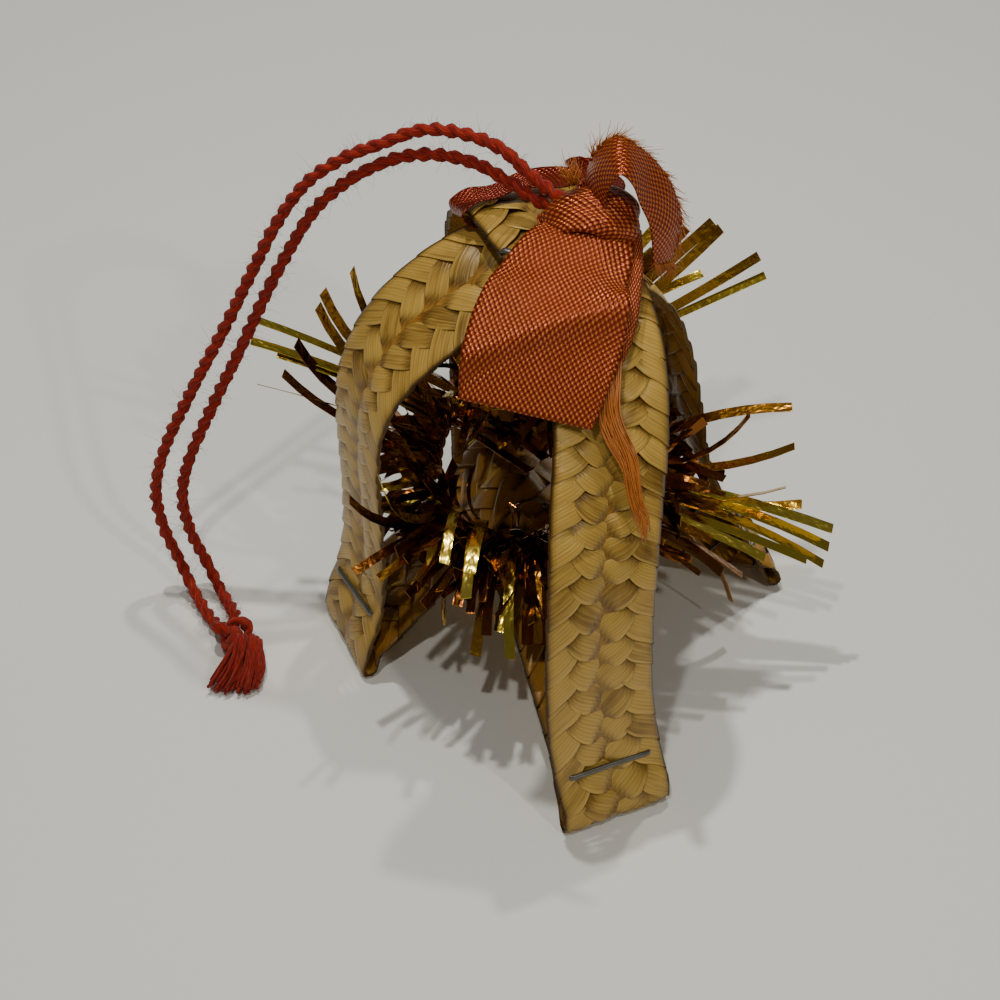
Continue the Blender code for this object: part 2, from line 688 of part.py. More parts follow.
def main():
    clear_scene()
    ornament = bpy.data.collections.new("straw_ornament")
    cutters = bpy.data.collections.new("cutters")
    for made in (ornament, cutters):
        bpy.context.scene.collection.children.link(made)
    straw = material("straw", (0.55, 0.43, 0.2), 0.45)
    steel = material("staple_steel", (0.35, 0.36, 0.37), 0.35, 1.0)
    film = material("tinsel_film", (0.75, 0.5, 0.08), 0.2, 1.0)
    satin = material("ribbon", (0.6, 0.14, 0.04), 0.4)
    yarn = material("yarn", (0.5, 0.03, 0.01), 0.9)

    left_right = Band(LEFT_LEG, LEFT_FOOT, LEFT_RIGHT_ARCH, RIGHT_FOOT, RIGHT_LEG)
    front_back = Band(FRONT_LEG, FRONT_FOOT, FRONT_BACK_ARCH, BACK_FOOT, BACK_LEG)
    plaited_band(left_right, "left_right_band", ornament, straw)
    plaited_band(front_back, "front_back_band", ornament, straw)

    for band, names in ((left_right, ("left", "right")), (front_back, ("front", "back"))):
        for name, fold, way in zip(names, band.fold_at, (-1, 1)):
            at = fold + way * STAPLE_UP
            ends = ((at, -STAPLE_LENGTH / 2), (at, STAPLE_LENGTH / 2))
            staple(f"staple_{name}", band, ends, ornament, steel)
    staple("staple_top", front_back, TOP_STAPLE, ornament, steel)
    tinsel(straw_points((left_right, front_back)), ornament, film)
    ribbon_bow(ornament, cutters, satin)

    wire("yarn_upper_strand", evenly(UPPER_STRAND, YARN_STEP), YARN_RADIUS, ornament, yarn)
    wire("yarn_lower_strand", evenly(LOWER_STRAND, YARN_STEP), YARN_RADIUS, ornament, yarn)
    lump("yarn_knot", *YARN_KNOT, ornament, yarn)
    tassel("yarn_tassel", TASSEL, ornament, yarn)


main()
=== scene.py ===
"""The looks of a small straw ornament that hangs by a loop of yarn.

Two crossing bands of flat straw plait stand on four stapled feet. A ring of gold tinsel lies on
the inner arches, a burnt orange ribbon is tied round the top, and a doubled loop of two-ply yarn
runs from the ribbon down to a knot of its own.

Sizes in this file are in millimetres, in the numbers that the ornament's solids are drawn in.
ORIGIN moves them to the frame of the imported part, in metres.
"""

import logging
import math
from dataclasses import dataclass, field
from enum import Enum
from typing import Callable, Sequence

import bmesh
import bpy
import numpy as np
from mathutils import Matrix, Vector, noise


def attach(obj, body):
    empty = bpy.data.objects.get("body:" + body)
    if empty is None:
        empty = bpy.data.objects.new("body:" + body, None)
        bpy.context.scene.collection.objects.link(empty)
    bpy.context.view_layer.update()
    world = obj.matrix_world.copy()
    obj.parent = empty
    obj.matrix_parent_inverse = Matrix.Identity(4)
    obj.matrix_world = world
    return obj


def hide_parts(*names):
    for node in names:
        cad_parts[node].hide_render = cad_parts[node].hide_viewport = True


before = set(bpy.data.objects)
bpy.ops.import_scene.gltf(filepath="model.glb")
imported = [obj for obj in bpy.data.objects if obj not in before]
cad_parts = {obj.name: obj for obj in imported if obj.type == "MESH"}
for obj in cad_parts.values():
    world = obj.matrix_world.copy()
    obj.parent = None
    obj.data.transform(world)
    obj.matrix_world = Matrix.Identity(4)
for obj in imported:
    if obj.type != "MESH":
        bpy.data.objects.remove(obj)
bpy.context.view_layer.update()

LOG = logging.getLogger("straw_ornament")
MM = 0.001
ORIGIN = np.array((-3.952, -7.072, 0.0))
BODY = "root"
TURN = 2 * math.pi
RIGHT = np.array((1.0, 0.0, 0.0))
UP = np.array((0.0, 0.0, 1.0))
OFF_AXIS = (0.31, 0.17, 0.93)  # a direction that no yarn starts along
Array = np.ndarray
Point = tuple[float, float, float]
Pair = tuple[float, float]


# ---------------------------------------------------------------- points and curves


def unit(vectors: Array) -> Array:
    """The vectors at length one, along the last axis."""
    vectors = np.asarray(vectors, float)
    return vectors / np.maximum(np.linalg.norm(vectors, axis=-1, keepdims=True), 1e-12)


def ease(share: Array) -> Array:
    """A share from 0 to 1, with a soft start and a soft end."""
    return share * share * (3 - 2 * share)


def pairs(first: Array, second: Array) -> Array:
    """Two numbers a point, side by side."""
    return np.stack([first, second], axis=1)


def round_line(first: Array, second: Array, turn: Array) -> Array:
    """Directions round a line at turns in radians, from one direction across it to another."""
    return first * np.cos(turn)[:, None] + second * np.sin(turn)[:, None]


def smooth(points: Sequence[Sequence[float]], steps: int = 12) -> Array:
    """A smooth curve through the points.

    Args:
        points: the points to pass through, with any number of values each.
        steps: how many steps the curve takes from one point to the next.

    Returns:
        The curve's points, end points included.
    """
    p = np.asarray(points, float)
    p = np.vstack([2 * p[0] - p[1], p, 2 * p[-1] - p[-2]])
    out = []
    for i in range(1, len(p) - 2):
        for t in np.linspace(0.0, 1.0, steps, endpoint=False):
            linear = (p[i + 1] - p[i - 1]) * t
            square = (2 * p[i - 1] - 5 * p[i] + 4 * p[i + 1] - p[i + 2]) * t**2
            cube = (3 * p[i] - p[i - 1] - 3 * p[i + 1] + p[i + 2]) * t**3
            out.append(0.5 * (2 * p[i] + linear + square + cube))
    return np.array(out + [p[-2]])


def lengths_along(line: Array) -> Array:
    """The length along a line up to each of its points."""
    return np.concatenate([[0.0], np.cumsum(np.linalg.norm(np.diff(line, axis=0), axis=1))])


def read_along(line: Array, at: Array) -> Array:
    """Points of a line at the given lengths along it."""
    along = lengths_along(line)
    return np.stack([np.interp(at, along, line[:, k]) for k in range(line.shape[1])], axis=-1)


def in_metres(points: Array) -> Array:
    """Points of this file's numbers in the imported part's frame."""
    return (np.asarray(points, float) - ORIGIN) * MM


def wobble(seed: int, count: int, size: float) -> Array:
    """A fixed set of random numbers between -size and size."""
    return np.random.default_rng(seed).uniform(-size, size, count)


def ring_lines(line: Array) -> tuple[Array, Array]:
    """Directions across a line that don't twist about it.

    Args:
        line: the line's points.

    Returns:
        Two directions across the line at each point, square to each other.
    """
    tangents = unit(np.gradient(line, axis=0))
    side = unit(np.cross(tangents[0], OFF_AXIS))
    sides = []
    for tangent in tangents:
        side = unit(side - tangent * (side @ tangent))
        sides.append(side)
    return np.array(sides), np.cross(tangents, np.array(sides))


# ---------------------------------------------------------------- pieces from grids


@dataclass
class Laid:
    """Where a grid's points go.

    Attributes:
        points: the places of the points, in millimetres.
        uv: two numbers a point for the patterns that follow the surface.
        tones: further named numbers, one a point.
    """

    points: Array
    uv: Array
    tones: dict[str, Array] = field(default_factory=dict)


Layer = Callable[[Array, Array, Array], Laid]


class Form(Enum):
    """What a grid is wrapped into."""

    SHEET = "sheet"
    TUBE = "tube"


def add_to_scene(name: str, data: bpy.types.ID) -> bpy.types.Object:
    """A new object of the scene, at the origin.

    Args:
        name: the object's name.
        data: the mesh, lamp or camera that it shows.

    Returns:
        The object.
    """
    made = bpy.data.objects.new(name, data)
    bpy.context.scene.collection.objects.link(made)
    return made


def laid_grids(
    name: str, count: int, along: int, across: int, lay: Layer, form: Form = Form.SHEET
) -> bpy.types.Object:
    """A piece made of grids, each laid in its place.

    Args:
        name: the piece's name.
        count: how many grids it has.
        along: faces along each grid.
        across: faces across it, or round it in a tube.
        lay: gives the places from each point's grid number and its two shares, 0 to 1.
        form: whether the grids stay sheets or close into tubes.

    Returns:
        The new object, at the origin, with smooth faces.
    """
    built = bmesh.new()
    built.loops.layers.uv.new("UVMap")
    for which in range(count):
        place = Matrix.Translation((0.5, 0.5, which))
        bmesh.ops.create_grid(
            built, x_segments=along, y_segments=across, size=0.5, matrix=place, calc_uvs=True
        )
    mesh = bpy.data.meshes.new(name)
    built.to_mesh(mesh)
    built.free()
    lay_out(mesh, lay)
    if form is Form.TUBE:
        close_tubes(mesh)
    mesh.polygons.foreach_set("use_smooth", np.ones(len(mesh.polygons), bool))
    mesh.update()
    return add_to_scene(name, mesh)


def lay_out(mesh: bpy.types.Mesh, lay: Layer) -> None:
    """Moves the points of stacked grids to their places and gives them UVs and tones.

    Args:
        mesh: square grids of side 1, each as high as its number.
        lay: gives the places.
    """
    shares = np.zeros(len(mesh.vertices) * 3)
    mesh.vertices.foreach_get("co", shares)
    shares = shares.reshape(-1, 3)
    laid = lay(np.round(shares[:, 2]).astype(int), shares[:, 0], shares[:, 1])
    mesh.vertices.foreach_set("co", in_metres(laid.points).astype(np.float32).ravel())
    corners = np.zeros(len(mesh.loops), np.int32)
    mesh.loops.foreach_get("vertex_index", corners)
    mesh.uv_layers[0].uv.foreach_set("vector", laid.uv[corners].astype(np.float32).ravel())
    for tone, values in laid.tones.items():
        layer = mesh.attributes.new(tone, "FLOAT", "POINT")
        layer.data.foreach_set("value", values.astype(np.float32))


def close_tubes(mesh: bpy.types.Mesh) -> None:
    """Joins the seams of tubes, closes their ends and turns their faces outwards.

    Args:
        mesh: grids whose first and last rows lie on each other.
    """
    built = bmesh.new()
    built.from_mesh(mesh)
    bmesh.ops.remove_doubles(built, verts=built.verts, dist=1e-8)
    open_edges = [edge for edge in built.edges if edge.is_boundary]
    bmesh.ops.holes_fill(built, edges=open_edges, sides=0)
    bmesh.ops.recalc_face_normals(built, faces=built.faces)
    built.to_mesh(mesh)
    built.free()


def thicken(piece: bpy.types.Object, thick: float) -> None:
    """Gives a sheet of cloth its thickness, half of it to each side.

    Args:
        piece: the sheet.
        thick: its thickness in millimetres.
    """
    cloth = piece.modifiers.new("cloth", "SOLIDIFY")
    cloth.thickness = thick * MM
    cloth.offset = 0.0


def fit(piece: bpy.types.Object, paint: bpy.types.Material) -> bpy.types.Object:
    """Gives a piece its material and slot and lets it ride on the ornament.

    Args:
        piece: the piece, a mesh.
        paint: its material.

    Returns:
        The same piece.
    """
    piece.data.materials.clear()
    piece.data.materials.append(paint)
    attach(piece, BODY)
    LOG.info("%s: %d faces", piece.name, len(piece.data.polygons))
    return piece


# ---------------------------------------------------------------- finishes


class Board:
    """A material's nodes, with short ways to add and join them."""

    def __init__(self, name: str) -> None:
        """A new material with its own shader.

        Args:
            name: the material's name.
        """
        self.material = bpy.data.materials.new(name)
        self.material.use_nodes = True
        self.nodes = self.material.node_tree.nodes
        self.shader = self.nodes["Principled BSDF"]

    def add(self, kind: str, sockets: dict | None = None, **settings: object) -> bpy.types.Node:
        """A new node.

        Args:
            kind: the node's type without its ShaderNode prefix.
            sockets: what goes into its inputs, by name or number: values or other nodes' outputs.
            **settings: the node's own options.

        Returns:
            The node.
        """
        made = self.nodes.new("ShaderNode" + kind)
        for option, value in settings.items():
            setattr(made, option, value)
        for socket, value in (sockets or {}).items():
            self.put(made, socket, value)
        return made

    def put(self, node: bpy.types.Node, socket: str | int, value: object) -> None:
        """Sets an input of a node to a value, or joins an output to it.

        Args:
            node: the node.
            socket: its input, by name or number.
            value: a value, or another node's output.
        """
        if isinstance(value, bpy.types.NodeSocket):
            self.material.node_tree.links.new(value, node.inputs[socket])
        else:
            node.inputs[socket].default_value = value

    def math(self, operation: str, *values: object) -> bpy.types.NodeSocket:
        """The output of a Math node with these inputs."""
        return self.add("Math", dict(enumerate(values)), operation=operation).outputs[0]

    def times(self, first: object, second: object) -> bpy.types.NodeSocket:
        """The product of two inputs."""
        return self.math("MULTIPLY", first, second)

    def plus(self, first: object, second: object) -> bpy.types.NodeSocket:
        """The sum of two inputs."""
        return self.math("ADD", first, second)

    def mix(self, share: object, first: object, second: object) -> bpy.types.NodeSocket:
        """The first colour blended into the second.

        Args:
            share: how much of the second there is.
            first, second: colours, or other nodes' outputs.

        Returns:
            The blended colour.
        """
        inputs = {0: share}
        for socket, colour in ((6, first), (7, second)):
            inputs[socket] = colour if isinstance(colour, bpy.types.NodeSocket) else (*colour, 1.0)
        return self.add("Mix", inputs, data_type="RGBA").outputs[2]

    def ramp(self, share: object, stops: Sequence[tuple[float, Point]]) -> bpy.types.NodeSocket:
        """A colour ramp.

        Args:
            share: where the ramp is read.
            stops: its places, from 0 to 1, with their colours.

        Returns:
            The colour there.
        """
        made = self.add("ValToRGB", {0: share})
        ends = made.color_ramp.elements
        while len(ends) < len(stops):
            ends.new(0.5)
        for end, (place, colour) in zip(ends, stops):
            end.position = place
            end.color = (*colour, 1.0)
        return made.outputs[0]

    def uv(self) -> tuple[bpy.types.NodeSocket, bpy.types.NodeSocket, bpy.types.NodeSocket]:
        """The piece's UV map.

        Returns:
            The map whole, and its two parts.
        """
        whole = self.add("UVMap", uv_map="UVMap").outputs[0]
        parts = self.add("SeparateXYZ", {0: whole})
        return whole, parts.outputs[0], parts.outputs[1]

    def tone(self, name: str) -> bpy.types.NodeSocket:
        """One of the piece's named numbers."""
        return self.add("Attribute", attribute_name=name).outputs["Fac"]

    def noise(
        self, vector: bpy.types.NodeSocket, stretch: Point, detail: float, scale: float = 1.0
    ) -> bpy.types.NodeSocket:
        """Noise read at a vector.

        Args:
            vector: where it is read.
            stretch: how much finer the noise is along each part of the vector.
            detail: how many finer layers it has.
            scale: how fine it is in all.

        Returns:
            The noise, from 0 to 1.
        """
        moved = self.add("Mapping", {0: vector, 3: stretch}).outputs[0]
        return self.add("TexNoise", {"Vector": moved, "Scale": scale, "Detail": detail}).outputs[0]

    def bump(self, height: bpy.types.NodeSocket, distance: float) -> None:
        """Raises the surface by a height, as far as a distance in metres."""
        made = self.add("Bump", {"Strength": 1.0, "Distance": distance, "Height": height})
        self.put(self.shader, "Normal", made.outputs[0])

    def set(self, **values: object) -> None:
        """Values of the shader's own sockets, with underscores for spaces."""
        for name, value in values.items():
            self.put(self.shader, name.replace("_", " "), value)


@dataclass(frozen=True)
class StrawFinish:
    """Split and flattened straw: fine lengthwise grooves, a satin sheen, each strand its own tone.

    Attributes:
        pale, deep: light and dark straw.
        inner: painted shade, the darker brown given to the band's inner face and to a strand where it dips
            under another.
        crevice: the shade where a strand dips under another.
        groove: the distance between two grooves, in millimetres.
        groove_line: how dark the grooves are.
        relief: how high streaks and grooves stand, in metres.
        sheen: the tint of the reflections.
    """

    pale: Point = (0.47, 0.29, 0.06)
    deep: Point = (0.12, 0.052, 0.005)
    inner: Point = (0.36, 0.15, 0.016)
    crevice: Point = (0.05, 0.016, 0.003)
    groove: float = 0.41
    groove_line: float = 0.22
    relief: float = 0.00008
    roughness: float = 0.34
    sheen: Point = (1.0, 0.84, 0.56)

    def make(self) -> bpy.types.Material:
        """Sets up the straw, on UVs in millimetres along and across a strand.

        Returns:
            The material.
        """
        board = Board("straw")
        whole, _, _ = board.uv()
        streaks = board.noise(whole, (0.12, 2.6, 1.0), 3.0)
        blotches = board.noise(whole, (0.16, 0.2, 1.0), 2.0)
        waves = {
            "Vector": whole,
            "Scale": math.pi / 10 / self.groove,
            "Distortion": 1.1,
            "Detail": 2.0,
            "Detail Scale": 0.35,
        }
        grooves = board.add("TexWave", waves, wave_type="BANDS", bands_direction="Y").outputs[1]
        share = board.plus(board.times(streaks, 0.75), board.times(blotches, 0.55))
        share = board.plus(share, board.times(board.tone("strand_tone"), 0.35))
        middle, bleached = self.blend(0.5), self.blend(1.3)
        straw = board.ramp(share, ((0.38, self.deep), (0.62, middle), (0.8, self.pale), (1.0, bleached)))
        lines = board.times(board.math("SUBTRACT", 1.0, grooves), self.groove_line)
        straw = board.mix(lines, straw, self.deep)
        # painted highlight: a paler line along one edge of each strand's top face
        straw = board.mix(board.times(board.tone("rim_highlight"), 0.65), straw, self.blend(1.6))
        # painted shade: darker brown where the strand lies on the band's inner face or dips under another
        straw = board.mix(board.times(board.tone("inner_shade"), 0.7), straw, self.inner)
        straw = board.mix(board.tone("crevice"), straw, self.crevice)
        board.bump(board.plus(board.times(grooves, 0.12), streaks), self.relief)
        board.set(Base_Color=straw, Roughness=self.roughness, Specular_IOR_Level=0.55)
        board.set(Anisotropic=0.35, Specular_Tint=(*self.sheen, 1.0))
        return board.material

    def blend(self, share: float) -> Point:
        """A colour between the deep and the pale one, or past it."""
        return tuple(min(1.0, d + (p - d) * share) for d, p in zip(self.deep, self.pale))


@dataclass(frozen=True)
class FilmFinish:
    """Gold film, painted maroon, amber, olive or yellow from strip to strip and along each: the tones stand
    in for one gold film's dark and bright reflections, a painted reflection and shade.
    """

    maroon: Point = (0.20, 0.068, 0.016)
    amber: Point = (0.46, 0.21, 0.025)
    olive: Point = (0.62, 0.47, 0.06)
    yellow: Point = (0.95, 0.72, 0.12)
    roughness: float = 0.2
    crinkle: float = 0.00014  # in metres

    def make(self) -> bpy.types.Material:
        """Sets up the film, on UVs in millimetres along and across a strip.

        Returns:
            The material.
        """
        board = Board("tinsel_film")
        whole, _, _ = board.uv()
        board.bump(board.noise(whole, (0.7, 1.1, 1.0), 1.5), self.crinkle)
        change = board.noise(whole, (0.16, 0.05, 1.0), 1.0)
        # painted reflection and shade: each strip's tone, from dark maroon to yellow, stands in for how dark
        # or bright the gold film's reflection is
        tone = board.math("MULTIPLY_ADD", board.tone("film_reflection_tone"), 0.75, -0.2)
        tone = board.math("MULTIPLY_ADD", change, 0.4, tone)
        shades = ((0.05, self.maroon), (0.35, self.amber), (0.66, self.olive), (0.95, self.yellow))
        board.set(Base_Color=board.ramp(tone, shades), Roughness=self.roughness, Metallic=1.0)
        return board.material


@dataclass(frozen=True)
class RibbonFinish:
    """Burnt orange satin woven in staggered dots.

    Attributes:
        thread, bright: the woven dots, from their foot to their top; bright is a painted highlight that
            lightens each dot towards its top.
        gap: the shade between them.
        stain: the colour of the faint uneven patches.
        apart: the distance between dots along and across, in millimetres.
        relief: how high the dots stand, in metres.
    """

    thread: Point = (0.40, 0.065, 0.003)
    gap: Point = (0.18, 0.014, 0.001)
    bright: Point = (0.86, 0.27, 0.04)
    stain: Point = (0.26, 0.03, 0.006)
    apart: Pair = (1.0, 0.78)
    relief: float = 0.00016
    roughness: float = 0.25

    def make(self) -> bpy.types.Material:
        """Sets up the satin, on UVs in millimetres along and across the ribbon.

        Returns:
            The material.
        """
        board = Board("ribbon")
        whole, along, across = board.uv()
        sines = [
            board.math("SINE", board.times(way, TURN / apart))
            for way, apart in zip((along, across), self.apart)
        ]
        dots = board.math("MULTIPLY_ADD", board.times(*sines), 0.5, 0.5)
        uneven = board.noise(whole, (0.5, 0.5, 1.0), 2.0)
        # painted highlight on the dots' tops and painted shade in the gaps between them
        woven = board.ramp(dots, ((0.36, self.gap), (0.64, self.thread), (1.0, self.bright)))
        board.bump(dots, self.relief)
        board.set(Base_Color=board.mix(board.times(uneven, 0.35), woven, self.stain))
        board.set(Roughness=self.roughness, Metallic=0.45)
        return board.material


@dataclass(frozen=True)
class ThreadFinish:
    """Loose threads of the ribbon."""

    light: Point = (0.66, 0.24, 0.045)
    dark: Point = (0.40, 0.09, 0.012)

    def make(self) -> bpy.types.Material:
        """Sets up the threads, on UVs in millimetres along a thread.

        Returns:
            The material.
        """
        board = Board("ribbon_thread")
        whole, _, _ = board.uv()
        shade = board.noise(whole, (0.3, 0.5, 1.0), 2.0)
        board.set(Base_Color=board.mix(shade, self.light, self.dark), Roughness=0.36)
        return board.material


@dataclass(frozen=True)
class WoolFinish:
    """Red two-ply wool, from its deepest strands to its lightest."""

    deep: Point = (0.10, 0.004, 0.002)
    bright: Point = (0.34, 0.016, 0.006)
    light: Point = (0.52, 0.065, 0.015)
    relief: float = 0.00022  # in metres

    def make(self) -> bpy.types.Material:
        """Sets up the wool, on UVs in millimetres along and round a ply.

        Returns:
            The material.
        """
        board = Board("yarn")
        _, along, across = board.uv()
        slant = board.add("CombineXYZ", {0: board.math("MULTIPLY_ADD", across, 1.1, along), 1: across})
        strands = board.noise(slant.outputs[0], (0.5, 6.0, 1.0), 3.0)
        tint = board.ramp(strands, ((0.3, self.deep), (0.55, self.bright), (0.8, self.light)))
        board.bump(strands, self.relief)
        board.set(Base_Color=tint, Roughness=0.85, Specular_IOR_Level=0.2)
        board.set(Sheen_Weight=0.1, Sheen_Roughness=0.5)
        return board.material


@dataclass(frozen=True)
class SteelFinish:
    """Dull staple wire with lighter, worn places."""

    dull: Point = (0.075, 0.073, 0.066)
    worn: Point = (0.24, 0.23, 0.20)

    def make(self) -> bpy.types.Material:
        """Sets up the wire, on UVs in millimetres along and round it.

        Returns:
            The material.
        """
        board = Board("staple_steel")
        whole, _, _ = board.uv()
        stains = board.noise(whole, (0.7, 0.7, 1.0), 3.0)
        board.set(Base_Color=board.mix(stains, self.dull, self.worn))
        board.set(Roughness=0.38, Metallic=0.85)
        return board.material


# ---------------------------------------------------------------- the straw plait

# Each leg from the crossing down: x, y, z, the azimuth of the width and its bank in degrees.
LEFT_LEG = (
    (-4.0, 4.0, 70.3, -72, 5),
    (-11.0, 2.0, 68.2, -73, 14),
    (-17.0, 0.2, 65.0, -74, 20),
    (-22.0, -1.3, 61.3, -74, 20),
    (-25.7, -2.3, 57.6, -72, 17),
    (-29.0, -3.3, 52.5, -69, 10),
    (-30.9, -3.9, 46.5, -67, 5),
    (-31.5, -4.1, 38.0, -66, 1),
    (-31.3, -4.4, 26.0, -66, 0),
    (-31.7, -5.2, 14.0, -66, 0),
)
RIGHT_LEG = (
    (3.0, 6.0, 67.8, -68, 0),
    (9.3, 8.0, 62.4, -63, 0),
    (13.1, 9.3, 54.0, -63, 0),
    (15.6, 9.8, 41.2, -63, 0),
    (18.0, 10.2, 29.0, -64, 0),
    (23.0, 11.0, 17.0, -68, 0),
    (27.8, 11.8, 8.0, -72, 0),
)
FRONT_LEG = (
    (-4.0, 4.0, 73.0, 27, 0),
    (-1.2, -1.5, 72.8, 27, 0),
    (1.5, -8.0, 71.3, 27, 0),
    (3.9, -16.0, 67.0, 27, 0),
    (4.6, -23.5, 60.0, 27, 0),
    (4.0, -30.0, 52.0, 27, 0),
    (3.6, -35.0, 43.0, 27, 0),
    (3.4, -38.0, 30.0, 27, 0),
    (4.0, -39.5, 18.0, 26, 0),
    (5.4, -40.6, 9.0, 25, 0),
)
BACK_LEG = (
    (-7.0, 10.5, 73.0, 27, 0),
    (-9.6, 17.5, 69.6, 27, 0),
    (-11.0, 23.2, 60.5, 26, 0),
    (-11.0, 25.3, 48.0, 25, 0),
    (-10.7, 25.6, 34.0, 24, 0),
    (-10.5, 25.6, 20.0, 22, 0),
    (-10.4, 26.2, 9.0, 20, 0),
)
# The inner arches between the feet, from the left foot and from the front foot.
LEFT_RIGHT_ARCH = (
    (-28.0, -3.6, 7.5, -66, 0),
    (-22.7, -1.1, 12.5, -68, 0),
    (-17.5, 0.5, 18.6, -70, 0),
    (-12.5, 2.2, 26.0, -72, 0),
    (-9.0, 3.3, 28.8, -73, 0),
    (-5.5, 4.4, 27.2, -74, 0),
    (1.0, 6.5, 21.5, -74, 0),
    (12.0, 9.0, 13.5, -74, 0),
    (22.0, 11.0, 7.6, -73, 0),
)
FRONT_BACK_ARCH = (
    (5.0, -35.0, 7.0, 25, 0),
    (2.5, -26.0, 10.5, 24, 0),
    (-1.0, -14.0, 14.5, 23, 0),
    (-4.5, -4.0, 16.6, 22, 0),
    (-7.0, 5.0, 16.8, 21, 0),
    (-8.5, 13.0, 13.8, 20, 0),
    (-9.5, 20.0, 9.0, 20, 0),
)
# Each foot: x, y on the table, the azimuth of the fold, and where the leg stands 10 mm up.
LEFT_FOOT = ((-34.1, -7.4), -66, (-32.2, -6.0))
RIGHT_FOOT = ((31.7, 12.6), -74, (27.0, 11.6))
FRONT_FOOT = ((6.4, -41.8), 24, (5.5, -40.8))
BACK_FOOT = ((-10.3, 27.3), 20, (-10.4, 26.4))
ABOVE = 10.0
FOLD = 1.0  # the radius of a foot's fold
PINCH = 3.0  # how far up from the fold its two layers lie together
OPENING = 5.0  # how far past that the weave reaches its full height
THICK = 1.1  # the plait


@dataclass
class BandRoute:
    """The closed line that a band follows, with the direction of its width.

    Attributes:
        leg, far_leg: the two legs' stations, from the crossing down.
        foot, far_foot: the two feet.
        arch: the inner arch's stations, from the first foot to the far one.
    """

    leg: Sequence[tuple]
    foot: tuple
    arch: Sequence[tuple]
    far_foot: tuple
    far_leg: Sequence[tuple]

    def __post_init__(self) -> None:
        """Joins the legs, the folds and the arch into one closed line."""
        near, far = self.fold_line(self.foot), self.fold_line(self.far_foot)
        far = (far[0][::-1], far[1][::-1])
        pieces = [
            self.stations([*self.leg, self.as_station(near, 0)]),
            near,
            self.stations([self.as_station(near, -1), *self.arch, self.as_station(far, 0)]),
            far,
            self.stations([self.as_station(far, -1), *reversed(self.far_leg), self.leg[0]]),
        ]
        self.line = np.vstack([points[:-1] for points, _ in pieces])
        widths = np.vstack([w[:-1] for _, w in pieces])
        self.along = lengths_along(np.vstack([self.line, self.line[:1]]))
        self.length = self.along[-1]
        self.fold_at = []
        for piece in (1, 3):
            before = sum(len(points) - 1 for points, _ in pieces[:piece])
            self.fold_at.append(self.along[before + len(pieces[piece][0]) // 2])
        self.tangents = unit(np.roll(self.line, -1, axis=0) - np.roll(self.line, 1, axis=0))
        self.widths = unit(widths - self.tangents * (widths * self.tangents).sum(1)[:, None])

    @staticmethod
    def stations(stations: Sequence[Sequence[float]]) -> tuple[Array, Array]:
        """The smooth line through stations.

        Args:
            stations: x, y, z, the azimuth of the width and its bank in degrees.

        Returns:
            The line's points and the direction of the width at each.
        """
        line = smooth(stations)
        turn, bank = np.radians(line[:, 3]), np.radians(line[:, 4])
        level = np.cos(bank)
        widths = np.stack([np.cos(turn) * level, np.sin(turn) * level, -np.sin(bank)], axis=1)
        return line[:, :3], widths

    @staticmethod
    def as_station(fold: tuple[Array, Array], index: int) -> tuple:
        """An end of a fold, written as a station."""
        point, w = fold[0][index], fold[1][index]
        return (*point, math.degrees(math.atan2(w[1], w[0])), 0.0)

    @staticmethod
    def fold_line(foot: tuple) -> tuple[Array, Array]:
        """The two layers and the fold at a foot.

        Args:
            foot: its place on the table, the fold's azimuth and where the leg stands further up.

        Returns:
            Points from the leg's side to the arch's side, and the direction of the width at each.
        """
        (x, y), azimuth, above = foot
        turn = math.radians(azimuth)
        w = np.array([math.cos(turn), math.sin(turn), 0.0])
        up = np.array([above[0] - x, above[1] - y, ABOVE])
        up = unit(up - w * (up @ w))
        inward = np.cross(up, w)
        middle = np.array([x, y, FOLD + THICK / 2])
        points = [middle + up * h - inward * FOLD for h in (PINCH, PINCH / 2)]
        for angle in np.linspace(0.0, math.pi, 5):
            points.append(middle - (inward * math.cos(angle) + up * math.sin(angle)) * FOLD)
        points += [middle + up * h + inward * FOLD for h in (PINCH / 2, PINCH)]
        return np.array(points), np.tile(w, (len(points), 1))

    def place(self, at: Array, side: Array, out: Array) -> Array:
        """Points on and about the band.

        Args:
            at: lengths along the band.
            side: distances from its middle to its side.
            out: distances out of its face.

        Returns:
            One point for each.
        """
        widths = unit(self.read(self.widths, at))
        tangents = unit(self.read(self.tangents, at))
        normals = unit(np.cross(tangents, widths))
        return self.read(self.line, at) + widths * side[:, None] + normals * out[:, None]

    def read(self, values: Array, at: Array) -> Array:
        """Values that are given along the line, three a point, read at lengths.

        Args:
            values: one row for each point of the line.
            at: lengths along the band.

        Returns:
            One row for each length.
        """
        closed = np.vstack([values, values[:1]])
        at = at % self.length
        return np.stack([np.interp(at, self.along, closed[:, k]) for k in range(3)], axis=-1)

    def free(self, at: Array) -> Array:
        """Tells the band's free stretches from its folds.

        Args:
            at: lengths along the band.

        Returns:
            1 on the free stretches and 0 at the folds, with a slope between.
        """
        half = self.length / 2
        near = np.min([np.abs((at - fold + half) % self.length - half) for fold in self.fold_at], axis=0)
        return np.clip((near - PINCH) / OPENING, 0.0, 1.0)


def per_cell(values: Array, which: Array, cells: Array) -> Array:
    """Numbers given at the middle of each strand's cells, read smoothly between them.

    Args:
        values: one row a strand, one number a cell; the rows are closed rings.
        which: the strand of each point.
        cells: how far along its strand each point is, in cells.

    Returns:
        One number for each point.
    """
    count = values.shape[1]
    place = cells - 0.5
    low = np.floor(place).astype(int)
    here, after = values[which, low % count], values[which, (low + 1) % count]
    return here + (after - here) * ease(place - low)


